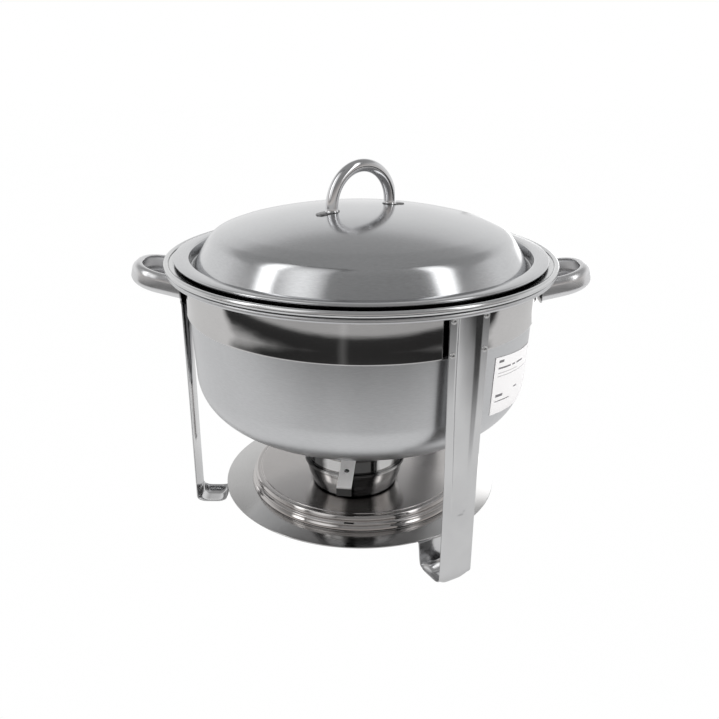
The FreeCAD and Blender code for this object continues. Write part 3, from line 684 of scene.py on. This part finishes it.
def burner_tray():
    """The tray: a flat top with a ring groove, a rolled shoulder, a hollow, a bead and a skirt."""
    top = TRAY_TOP - 0.5
    spine = rounded([
        (TRAY_EDGE + 3.4, BASE_HIGH[2] + 0.5), (TRAY_EDGE + 2.6, top - 11.0, 2.0),
        (TRAY_EDGE + 0.7, top - 9.3, 0.7), (TRAY_EDGE + 2.6, top - 7.6, 0.9),
        (TRAY_EDGE - 0.4, top - 6.0, 0.9), (TRAY_EDGE - 0.6, top - 4.4, 0.8),
        (TRAY_EDGE + 0.4, top - 3.0, 1.4), (TRAY_EDGE - 1.6, top, 2.2),
        (TRAY_EDGE - 5.2, top, 0.9), (TRAY_EDGE - 6.2, top - 0.9, 0.6), (TRAY_EDGE - 7.2, top, 0.9),
        (60, top), (0, top)], 6)
    piece = lathe("burner_tray_skin", sheet_section(spine, TRAY_GAUGE))
    paint(piece, TRAY)
    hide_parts("burner_tray")
    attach(piece, "stand")


GRIP_ROOT = 174.9
GRIP_HALF = 38.0
GRIP_CORNER = 33.0
GRIP_HEIGHT = 20.0
GRIP_FLANGE = 8.0
GRIP_SOFT = 6.6
GRIP_LOW = 242.0
GRIP_RISE = 14.0
GRIP_END = 230.8
GRIP_GAUGE = 1.2
EAR_SIDES = (21.0, 39.0)
EAR_HEIGHTS = (241.5, 264.0)
EAR_RIVET_SIDE = 28.0
EAR_RIVET_HEIGHT = 253.5


def side_handle(name, azimuth):
    """A stamped loop: a soft-cornered C section swept along a rounded U, its arms cut off upright."""
    path = rounded([(GRIP_ROOT, -GRIP_HALF), (GRIP_END, -GRIP_HALF, GRIP_CORNER),
                    (GRIP_END, GRIP_HALF, GRIP_CORNER), (GRIP_ROOT, GRIP_HALF)], 24)
    path = tidy_line(path, 0.05)
    low = GRIP_GAUGE / 2
    high = GRIP_HEIGHT - low
    bend = GRIP_SOFT - low
    spine = rounded([(GRIP_FLANGE, low), (low, low, bend), (low, high, bend), (GRIP_FLANGE, high)], 10)
    section = sheet_section(spine, GRIP_GAUGE, to_axis=False)
    loops = []
    for number, point, way in along_line(path):
        inward = Vector((-way.y, way.x))
        cut = math.tan(math.radians(GRIP_RISE)) if number in (0, len(path) - 1) else 0
        loops.append([(point.x + inward.x * s[0] + cut * s[1], point.y + inward.y * s[0], s[1])
                      for s in section])
    lean = (Matrix.Translation((GRIP_ROOT, 0, GRIP_LOW))
            @ Matrix.Rotation(math.radians(-GRIP_RISE), 4, "Y") @ Matrix.Translation((-GRIP_ROOT, 0, 0)))
    piece = place(loft(name + "_skin", loops, sharp=45), around(azimuth) @ lean)
    paint(piece, GRIP)
    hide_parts(name)
    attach(piece, "stand")


def plate(name, low, high, thick, corner=3.0, edge=0.3):
    """A flat plate with round corners in its own YZ plane, its outer face at x = 0."""
    middle = Vector(middle_of(low, high))
    corners = [(low[0], middle.y), (low[0], low[1], corner), (high[0], low[1], corner),
               (high[0], high[1], corner), (low[0], high[1], corner), (low[0], middle.y)]
    rim = tidy_line(rounded(corners, 6))[:-1]
    loops = []
    for depth, inset in ((0, edge), (-edge, 0), (-thick + edge, 0), (-thick, edge)):
        loops.append([(depth, *(p + (middle - p).normalized() * inset)) for p in rim])
    return loft(name, loops, sharp=30)


def handle_ears(name, azimuth):
    """The two upright plates that hold the arms of a handle off the band."""
    pieces = []
    for hand in (-1, 1):
        first, second = sorted(hand * side for side in EAR_SIDES)
        ear = plate("ear", (first, EAR_HEIGHTS[0]), (second, EAR_HEIGHTS[1]), 1.5)
        pieces.append(place(ear, around(azimuth) @ Matrix.Translation((GRIP_ROOT, 0, 0))))
    whole = join(name + "_skin", pieces)
    paint(whole, CHROME)
    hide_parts(name)
    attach(whole, "stand")


def handle_rivets():
    """A hollow rivet with its shank through each ear."""
    pieces = []
    for azimuth in (-90, 90):
        for side in (-EAR_RIVET_SIDE, EAR_RIVET_SIDE):
            seat = rivet_seat(azimuth, GRIP_ROOT, side, EAR_RIVET_HEIGHT)
            pieces.append(place(ring_rivet("rivet", 3.0, 1.1), seat))
            shank = lathe("shank", [(0, -4.6), (1.8, -4.6), (1.8, -0.5), (0, -0.5)], steps=24)
            pieces.append(place(shank, seat))
    whole = join("handle_rivet_heads", pieces)
    paint(whole, RIVET)
    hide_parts("handle_rivets")
    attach(whole, "stand")


# ------------ pans

WATER_LOW, WATER_HIGH = node_box("water_pan")
FOOD_TOP = node_box("food_pan")[1][2]
PAN_GAUGE = 0.9
WAIST_HEIGHT = 167.5
WAIST_RADIUS = 167.7
WALL_HEIGHT = 229.0
WALL_RADIUS = 170.8
FLOOR_BEND = 49.1
FLOOR_RADIUS = 118.6


def bead(centre, radius, start, gauge, turn=325):
    """A curled edge as the start of a spine: most of a circle that ends where the sheet leaves it."""
    return arc(centre, radius - gauge / 2, start - turn, start, 40)


def water_wall(up):
    """Outer radius of the water pan's wall at a height, from its waist to its floor corner."""
    if up >= WAIST_HEIGHT:
        lean = (WALL_RADIUS - WAIST_RADIUS) / (WALL_HEIGHT - WAIST_HEIGHT)
        return WAIST_RADIUS + (up - WAIST_HEIGHT) * lean
    return FLOOR_RADIUS + math.sqrt(max(FLOOR_BEND ** 2 - (WAIST_HEIGHT - up) ** 2, 0))


def water_pan():
    """The water pan: curled rim, seat on the band, leaning wall, round floor corner, flat floor."""
    floor = WATER_LOW[2] + PAN_GAUGE / 2
    centre = (187.6, WATER_HIGH[2] - 2.7)
    seat = BAND_TOP + 0.5
    spine = bead(centre, 2.7, 270, PAN_GAUGE)
    inset = PAN_GAUGE / 2
    neck = 170.95
    spine += rounded([(185.5, seat), (neck, seat, 1.2), (neck, 246),
                      (WALL_RADIUS - 0.2 - inset, WALL_HEIGHT, 20), (WAIST_RADIUS - inset, WAIST_HEIGHT)], 6)
    for step in range(1, 29):
        angle = math.radians(90 * step / 28)
        spine.append(Vector((FLOOR_RADIUS + (FLOOR_BEND - inset) * math.cos(angle),
                             WAIST_HEIGHT - (FLOOR_BEND - 0.9 - inset) * math.sin(angle))))
    spine += [Vector((60, floor)), Vector((0, floor))]
    piece = lathe("water_pan_skin", sheet_section(spine, PAN_GAUGE), steps=256)
    paint(piece, SATIN_PAN)
    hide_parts("water_pan")
    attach(piece, "water_pan")


LABEL_AZIMUTH = 58.2
LABEL_SWEEP = 27.5
LABEL_LOW = 155.0
LABEL_HIGH = 212.0
LABEL_TILT = 5.0


def label():
    """The paper sticker, bent to the pan's wall, its upper edge falling a little to the right."""
    across, upward = 36, 24
    thick = 0.22
    tool = bmesh.new()
    layer = tool.loops.layers.uv.new("face")
    grid = {}
    for depth in (0, 1):
        for i in range(across + 1):
            for j in range(upward + 1):
                azimuth = LABEL_AZIMUTH + LABEL_SWEEP * (i / across - 0.5)
                up = LABEL_LOW + (LABEL_HIGH - LABEL_LOW) * j / upward - LABEL_TILT * (i / across - 0.5) * 2
                radius = water_wall(up) + 0.1 + depth * thick
                angle = math.radians(azimuth - 90)
                point = Vector((radius * math.cos(angle), radius * math.sin(angle), up))
                grid[depth, i, j] = tool.verts.new(point * MM)
    share = {vert: (i / across, j / upward) for (_, i, j), vert in grid.items()}

    def face(*corners):
        """One quad with its place on the label as its UV."""
        made = tool.faces.new([grid[c] for c in corners])
        for corner in made.loops:
            corner[layer].uv = share[corner.vert]

    for i in range(across):
        for j in range(upward):
            for depth in (0, 1):
                face((depth, i, j), (depth, i + 1, j), (depth, i + 1, j + 1), (depth, i, j + 1))
    for i in range(across):
        for j in (0, upward):
            face((0, i, j), (0, i + 1, j), (1, i + 1, j), (1, i, j))
    for j in range(upward):
        for i in (0, across):
            face((0, i, j), (1, i, j), (1, i, j + 1), (0, i, j + 1))
    piece = finish_mesh("label_paper", tool)
    paint(piece, PAPER)
    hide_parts("label")
    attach(piece, "water_pan")


def food_pan():
    """The food pan: curled rim, flange with a ring groove, the ridge under the lid, and the bowl."""
    flange = 278.8
    inset = PAN_GAUGE / 2
    ridge = FOOD_TOP - inset
    floor = 183.0 + inset
    neck = 169.35
    spine = bead((189.3, 278.5), 2.8, 172, PAN_GAUGE)
    spine += rounded([(186.3, flange + 0.1), (185.6, flange, 0.8), (177.8, flange, 1.6), (175.6, ridge, 1.5),
                      (neck, ridge, 1.2), (neck, 262.0, 30), (164.5 - inset, 206.0),
                      (163.6 - inset, floor, 17.0), (120, floor), (0, floor)], 10)
    piece = lathe("food_pan_skin", sheet_section(spine, PAN_GAUGE), steps=256)
    paint(piece, POLISHED_PAN)
    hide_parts("food_pan")
    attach(piece, "food_pan")


# ------------ lid

LID_TOP = node_box("lid")[1][2]
CROWN_RADIUS = 480.0
CROWN_EDGE = 128.0
FLANGE_UNDER = 283.4


def crown_height(across):
    """Height of the crown's upper face at a distance from the middle."""
    return LID_TOP - CROWN_RADIUS + math.sqrt(CROWN_RADIUS ** 2 - across ** 2)


def lid():
    """The lid: a shallow crown, a round shoulder, a steep side, the gutter and the flat flange."""
    gauge = 0.9
    half = gauge / 2
    top = FLANGE_UNDER + half
    gutter = 272.2
    spine = rounded([(179.4, top - 1.5), (181.6, top - 1.4, 0.7), (181.9, top, 0.7), (168.0, top, 1.3),
                     (167.7, gutter, 2.2), (164.2, gutter, 1.2), (162.0, 276.4, 9)], 8)
    side_top = (152.2, 292.8)
    spine += [Vector((157.0, 285.4)), Vector(side_top)]
    shoulder = rounded([side_top, (145.0, 303.0, 21.0), (CROWN_EDGE, crown_height(CROWN_EDGE) - half)], 14)
    spine += shoulder[1:-1]
    steps = 26
    for step in range(steps + 1):
        across = CROWN_EDGE * (1 - step / steps)
        spine.append(Vector((across, crown_height(across) - half)))
    piece = lathe("lid_skin", sheet_section(tidy_line(spine, 0.3), gauge), steps=288)
    paint(piece, SATIN_LID)
    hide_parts("lid")
    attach(piece, "lid")


ARCH_RADIUS = 36.0
ARCH_TUBE = 6.0
TUBE_STEPS = 40
ARCH_SPRING = 330.0
ARCH_TURN = 39.0
TAB_INNER, TAB_OUTER = 28.5, 53.5
TAB_HALF = 5.6


def lid_handle():
    """The bent tube: a half circle on two short legs that spread slightly at the weld."""
    path = [Vector((ARCH_RADIUS, crown_height(ARCH_RADIUS) + 0.4)), Vector((ARCH_RADIUS, 327.2)),
            Vector((ARCH_RADIUS, 328.5))]
    path += arc((0, ARCH_SPRING), ARCH_RADIUS, 0, 180, 64)
    path += [Vector((-p.x, p.y)) for p in path[2::-1]]
    loops = []
    for number, point, way in along_line(path):
        outward = Vector((way.y, -way.x))
        end = min(number, len(path) - 1 - number)
        radius = ARCH_TUBE * (1.12 if end == 0 else 1.03 if end == 1 else 1.0)
        loop = []
        for k in range(TUBE_STEPS):
            angle = 2 * math.pi * k / TUBE_STEPS
            reach = radius * math.cos(angle)
            loop.append((point.x + outward.x * reach, radius * math.sin(angle), point.y + outward.y * reach))
        loops.append(loop)
    turn = Matrix.Rotation(math.radians(ARCH_TURN), 4, "Z")
    piece = place(loft("lid_handle_skin", loops, sharp=50), turn)
    paint(piece, CHROME)
    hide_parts("lid_handle")
    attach(piece, "lid")


def lid_handle_tabs():
    """Thin straps under the feet of the arch, lying on the crown, round at their outer ends; their dark
    colour is painted shadow.
    """
    pieces = []
    for turn in (0, 180):
        loops = []
        steps = 24
        for step in range(steps + 1):
            along = TAB_INNER + (TAB_OUTER - TAB_INNER) * step / steps
            end = min(along - TAB_INNER, TAB_OUTER - along)
            half = TAB_HALF * math.sqrt(max(1 - max(0.0, 1 - end / TAB_HALF) ** 2, 0.0)) + 0.25
            low = crown_height(along) - 0.05
            loops.append([(along, -half, low), (along, -half, low + 0.7), (along, -half * 0.9, low + 0.95),
                          (along, 0, low + 1.0), (along, half * 0.9, low + 0.95), (along, half, low + 0.7),
                          (along, half, low)])
        pieces.append(place(loft("tab", loops, sharp=40),
                            Matrix.Rotation(math.radians(ARCH_TURN + turn), 4, "Z")))
    whole = join("lid_handle_tabs_skin", pieces)
    paint(whole, TAB)
    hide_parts("lid_handle_tabs")
    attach(whole, "lid")


# ------------ burner

CUP_LOW, CUP_HIGH = node_box("fuel_cup")
COVER_LOW, COVER_HIGH = node_box("burner_cover")
BURNER = middle_of(CUP_LOW, CUP_HIGH)
CUP_GAUGE = 0.8
# Painted reflection streaks on the burner steel.
painted_reflection_streaks(BURNER_STEEL, BURNER)
DAMPER_LOW = COVER_HIGH[2] + 0.2
DAMPER_GAUGE = 1.2
DAMPER_AZIMUTH = -6.2
DAMPER_PIVOT = 44.0
DAMPER_SEAT = Matrix.Translation((*BURNER, 0)) @ around(DAMPER_AZIMUTH)
EYE_CENTRE = (66.0, 0)
# Painted shade under the damper and in its eye, and a black turned-down tip.
dull_with_painted_shade(DAMPER, 0.2, DAMPER_SEAT @ Vector((*EYE_CENTRE, 0)))


def fuel_cup():
    """The flared cup with its rolled rim."""
    floor = CUP_LOW[2] + CUP_GAUGE / 2
    inset = CUP_GAUGE / 2
    spine = bead((51.0, CUP_HIGH[2] - 1.3), 1.3, 190, CUP_GAUGE * 0.8, turn=300)
    spine += rounded([(50.0, 74.0), (48.0 - inset, 62.0, 40), (44.3 - inset, 52.5, 20),
                      (42.9 - inset, floor, 2.4), (20, floor), (0, floor)], 8)
    piece = lathe("fuel_cup_skin", sheet_section(spine, CUP_GAUGE), steps=144, centre=BURNER)
    paint(piece, BURNER_STEEL)
    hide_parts("fuel_cup")
    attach(piece, "burner")


def burner_cover():
    """The cap: a turned-down flame hole, a flat top, an upright wall and a flange on the cup."""
    top = COVER_HIGH[2] - CUP_GAUGE / 2
    seat = COVER_LOW[2] + CUP_GAUGE / 2
    spine = rounded([(52.0, seat), (48.8, seat, 0.8), (48.8, top, 3.0), (40.0, top), (22.0, top, 0.5),
                     (21.5, top - 1.5)], 7)
    section = sheet_section(spine, CUP_GAUGE, to_axis=False)
    piece = lathe("burner_cover_skin", section, steps=144, centre=BURNER)
    paint(piece, BURNER_STEEL)
    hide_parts("burner_cover")
    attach(piece, "burner")


def solid_sum(base, other, operation):
    """The base with another solid added to it or cut from it; the other solid is used up."""
    change = base.modifiers.new("change", "BOOLEAN")
    change.operation = operation
    change.object = other
    change.solver = "EXACT"
    graph = bpy.context.evaluated_depsgraph_get()
    mesh = bpy.data.meshes.new_from_object(base.evaluated_get(graph))
    base.modifiers.clear()
    base.data = mesh
    bpy.data.objects.remove(other)


def flat_plate(name, rim, low, thick):
    """A plate with a free outline between two heights."""
    return loft(name, [[(p[0], p[1], low) for p in rim], [(p[0], p[1], low + thick) for p in rim]], sharp=30)


def post(name, radius, centre, low, high):
    """A round bar between two heights."""
    count = 48
    return flat_plate(name, arc(centre, radius, 0, 360 * (1 - 1 / count), count - 1), low, high - low)


def damper():
    """The damper: a disc and pivot eye in one plate, and the strip handle with its turned-down tip."""
    disc, ear, half = 27.0, 7.0, 7.0
    bend, tip, foot = 52.0, 87.9, COVER_LOW[2] - 0.6
    fall = math.tan(math.radians(15.6))
    high = DAMPER_LOW + DAMPER_GAUGE
    wide = math.degrees(math.asin(6.9 / disc))
    rim = arc((0, 0), disc, wide, 180 - wide, 40)
    rim += arc((-DAMPER_PIVOT, 0), ear, 90, 270, 20)
    rim += arc((0, 0), disc, 180 + wide, 360 - wide, 40)
    rim += [Vector((bend - 4.0, -half)), Vector((bend - 4.0, half))]
    whole = flat_plate("damper_skin", tidy_line(rim), DAMPER_LOW, DAMPER_GAUGE)
    line = rounded([(bend - 9.0, high), (bend, high, 5), (tip, high - (tip - bend) * fall, 1.5),
                    (tip, foot)], 8)
    under = offset(line, -DAMPER_GAUGE)
    lip = 0.3
    loops = []
    for face, back in zip(line, under):
        near, far = face.lerp(back, 0.25), face.lerp(back, 0.75)
        loops.append([(face.x, lip - half, face.y), (face.x, half - lip, face.y), (near.x, half, near.y),
                      (far.x, half, far.y), (back.x, half - lip, back.y), (back.x, lip - half, back.y),
                      (far.x, -half, far.y), (near.x, -half, near.y)])
    strip = loft("strip", loops, sharp=30)
    solid_sum(whole, strip, "UNION")
    solid_sum(whole, post("eye", 1.9, EYE_CENTRE, foot, high + 5), "DIFFERENCE")
    solid_sum(whole, post("pivot_hole", 2.55, (-DAMPER_PIVOT, 0), foot, high + 5), "DIFFERENCE")
    shade_smooth(whole.data, 30)
    place(whole, DAMPER_SEAT)
    paint(whole, DAMPER)
    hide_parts("damper")
    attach(whole, "damper")


def damper_rivet():
    """The pin that the damper turns on, with its round head."""
    low, high = node_box("damper_rivet")
    head = high[2] - 1.4
    outline = rounded([(0, low[2]), (2.5, low[2]), (2.5, head), (4.2, head, 0.1),
                       (3.9, high[2] - 0.2, 0.9), (0, high[2])], 5)
    piece = lathe("damper_rivet_head", outline, steps=40, centre=middle_of(low, high), sharp=50)
    paint(piece, RIVET)
    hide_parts("damper_rivet")
    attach(piece, "burner")


# ------------ stage, light and camera

def stage_plane(name, size, centre, aim, material, camera=True, along=(0, 0, 1)):
    """A flat card of (width, height) metres: it faces a point, its height goes along a direction.

    Without a point to face it lies flat.
    """
    mesh = bpy.data.meshes.new(name)
    w, h = size[0] / 2, size[1] / 2
    mesh.from_pydata([(-w, -h, 0), (w, -h, 0), (w, h, 0), (-w, h, 0)], [], [(0, 1, 2, 3)])
    card = in_scene(name, mesh)
    card.location = centre
    if aim:
        facing = (Vector(aim) - Vector(centre)).normalized()
        across = Vector(along).cross(facing).normalized()
        card.rotation_euler = Matrix((across, facing.cross(across), facing)).transposed().to_euler()
    mesh.materials.append(material)
    card.visible_camera = camera
    card.visible_diffuse = False
    card.visible_shadow = False
    return card


def glow(name, light):
    """A material that only shines, with the strength that the function `light` makes."""
    material = bpy.data.materials.new(name)
    material.use_nodes = True
    tree = material.node_tree
    tree.nodes.clear()
    out = add(tree, "ShaderNodeOutputMaterial")
    shine = add(tree, "ShaderNodeEmission")
    tree.links.new(shine.outputs[0], out.inputs["Surface"])
    spot = add(tree, "ShaderNodeTexCoord").outputs["Object"]
    across, along, _ = split(tree, spot)
    tree.links.new(light(tree, spot, across, along), shine.inputs["Strength"])
    return material


def card(name, size, centre, aim, level, softness=0.8, along=(0, 0, 1)):
    """A soft-edged card that only the steel sees."""

    def light(tree, _, across, up):
        shares = [math_node(tree, "MULTIPLY", way, 2 / length) for way, length in zip((across, up), size)]
        fading = [clamped(tree, "SUBTRACT", 1.0, math_node(tree, "MULTIPLY", s, s)) for s in shares]
        both = math_node(tree, "POWER", math_node(tree, "MULTIPLY", *fading), softness)
        return math_node(tree, "MULTIPLY", both, level)

    stage_plane(name, size, centre, aim, glow(name + "_glow", light), camera=False, along=along)


def area_light(name, centre, aim, size, power):
    """A rectangular lamp of some watts that lights paper and dull metal but isn't mirrored."""
    light = bpy.data.lights.new(name, "AREA")
    light.shape = "RECTANGLE"
    light.size, light.size_y = size
    light.energy = power
    lamp = in_scene(name, light)
    lamp.location = centre
    lamp.rotation_euler = (Vector(aim) - Vector(centre)).to_track_quat("-Z", "Y").to_euler()
    lamp.visible_camera = False
    lamp.visible_glossy = False


def world_light():
    """White where the camera looks past the object, and a grey studio for what the steel mirrors."""
    world = bpy.data.worlds.new("studio")
    bpy.context.scene.world = world
    world.use_nodes = True
    tree = world.node_tree
    tree.nodes.clear()
    out = add(tree, "ShaderNodeOutputWorld")
    seen = add(tree, "ShaderNodeBackground")
    seen.inputs["Color"].default_value = (1, 1, 1, 1)
    lit = add(tree, "ShaderNodeBackground")
    _, back, up = split(tree, add(tree, "ShaderNodeTexCoord").outputs["Generated"])
    behind = clamped(tree, "MULTIPLY_ADD", back, 1.6, 0.45)
    sweep = ramp(tree, up, ((0.0, 0.95), (0.34, 0.88), (0.49, 0.72), (0.57, 0.42), (0.74, 0.34), (1.0, 0.34)))
    room = ramp(tree, up, ((0.0, (0.6, 0.57, 0.55)), (0.25, (0.36, 0.34, 0.33)), (0.5, 0.26), (0.8, 0.3),
                           (1.0, 0.34)))
    tree.links.new(mixed_colour(tree, behind, room, sweep), lit.inputs["Color"])
    path = add(tree, "ShaderNodeLightPath")
    mix = add(tree, "ShaderNodeMixShader")
    for number, output in enumerate((path.outputs["Is Camera Ray"], lit.outputs[0], seen.outputs[0])):
        tree.links.new(output, mix.inputs[number])
    tree.links.new(mix.outputs[0], out.inputs["Surface"])


def floor_light(tree, spot, *_):
    """The floor in front of the camera: an even white."""
    return math_node(tree, "MULTIPLY_ADD", noise(tree, spot, 3.0, 1.0), 0.004, 0.996)


def table_light(tree, spot, across, along):
    """The table as the steel mirrors it: shaded under the dish, white around it, dark to the front."""
    middle = hypotenuse(tree, across, along)
    front_half = clamped(tree, "MULTIPLY_ADD", along, -3.0, 0.4)
    sideways = math_node(tree, "MULTIPLY", math_node(tree, "MULTIPLY", across, 0.55), front_half)
    forward = math_node(tree, "MINIMUM", along, 0.0)
    reach = hypotenuse(tree, sideways, forward)
    uneven = math_node(tree, "MULTIPLY_ADD", noise(tree, spot, 5.0, 3.0), 0.16, -0.08)
    half_reach = math_node(tree, "MULTIPLY", math_node(tree, "ADD", reach, uneven), 0.5)
    front = ramp(tree, half_reach, ((0.19, 0.78), (0.25, 0.52), (0.3, 0.29), (0.335, 0.09), (0.38, 0.03),
                                    (0.62, 0.035), (0.82, 0.5)))
    shade = ramp(tree, middle, ((0.14, 0.14), (0.165, 0.75), (0.2, 1.0)))
    bearing = math_node(tree, "ARCTAN2", across, math_node(tree, "MULTIPLY", along, -1.0))
    off_streak = math_node(tree, "ABSOLUTE", math_node(tree, "ADD", bearing, 0.17))
    streak = math_node(tree, "MULTIPLY", clamped(tree, "MULTIPLY_ADD", off_streak, -16.0, 1.0), 0.09)
    return math_node(tree, "ADD", math_node(tree, "MULTIPLY", front, shade), streak)


def stage():
    """The room, the floor that shows, the table that the steel mirrors, the cards and the lamps."""
    world_light()
    floor = stage_plane("floor", (9, 9), (0, 2.0, -0.0006), None, glow("floor_white", floor_light))
    floor.visible_glossy = False
    stage_plane("table", (9, 9), (0, 0, -0.0010), None, glow("table_white", table_light), camera=False)
    card("soft_left", (0.3, 1.4), (-0.81, -0.27, 0.89), (-0.11, -0.12, 0.29), 2.9, along=(0.26, 0.39, 0.55))
    card("fill_left", (0.62, 1.6), (-0.56, -0.56, 0.94), (-0.07, -0.14, 0.29), 1.25, along=(0.19, 0.51, 0.58))
    card("soft_right", (0.3, 1.4), (0.75, -0.37, 0.91), (0.1, -0.13, 0.29), 2.8, along=(-0.24, 0.435, 0.56))
    card("bounce_back", (0.32, 0.26), (0.315, 0.36, 0.19), (0.315, -1, 0.19), 2.2, 0.25)
    area_light("key_left", (-1.2, -0.1, 0.95), (0, 0, 0.2), (0.3, 0.9), 6)
    area_light("key_right", (1.15, -0.2, 0.95), (0, 0, 0.2), (0.42, 0.9), 12)
    area_light("key_front", (-0.08, -0.85, 0.4), (-0.02, -0.08, 0.095), (0.25, 0.15), 1.4)


CAMERA_BACK = 0.7697
CAMERA_HEIGHT = 0.4708
CAMERA_PITCH = 21.54
CAMERA_ROLL = 0.41
SENSOR_WIDTH = 36.0
FOCAL_LENGTH = 39.625035
SHIFT_ACROSS = -0.00139082
SHIFT_UP = -0.00013908


def camera():
    """The camera in front of the dish, looking down on it."""
    data = bpy.data.cameras.new("camera")
    data.sensor_width = SENSOR_WIDTH
    data.lens = FOCAL_LENGTH
    data.shift_x = SHIFT_ACROSS
    data.shift_y = SHIFT_UP
    data.dof.use_dof = False
    eye = in_scene("camera", data)
    eye.matrix_world = (Matrix.Translation((0, -CAMERA_BACK, CAMERA_HEIGHT))
                        @ Matrix.Rotation(math.radians(90 - CAMERA_PITCH), 4, "X")
                        @ Matrix.Rotation(math.radians(CAMERA_ROLL), 4, "Z"))
    bpy.context.scene.camera = eye
    bpy.context.scene.view_settings.view_transform = "Standard"


stand_ring()
for leg_name, leg_azimuth in LEG_PLACES.items():
    leg(leg_name, leg_azimuth)
leg_rivets()
base_ring()
burner_tray()
for handle_side, handle_azimuth in (("left", -90), ("right", 90)):
    side_handle("side_handle_" + handle_side, handle_azimuth)
    handle_ears("handle_ears_" + handle_side, handle_azimuth)
handle_rivets()
water_pan()
label()
food_pan()
lid()
lid_handle()
lid_handle_tabs()
fuel_cup()
burner_cover()
damper()
damper_rivet()
stage()
camera()
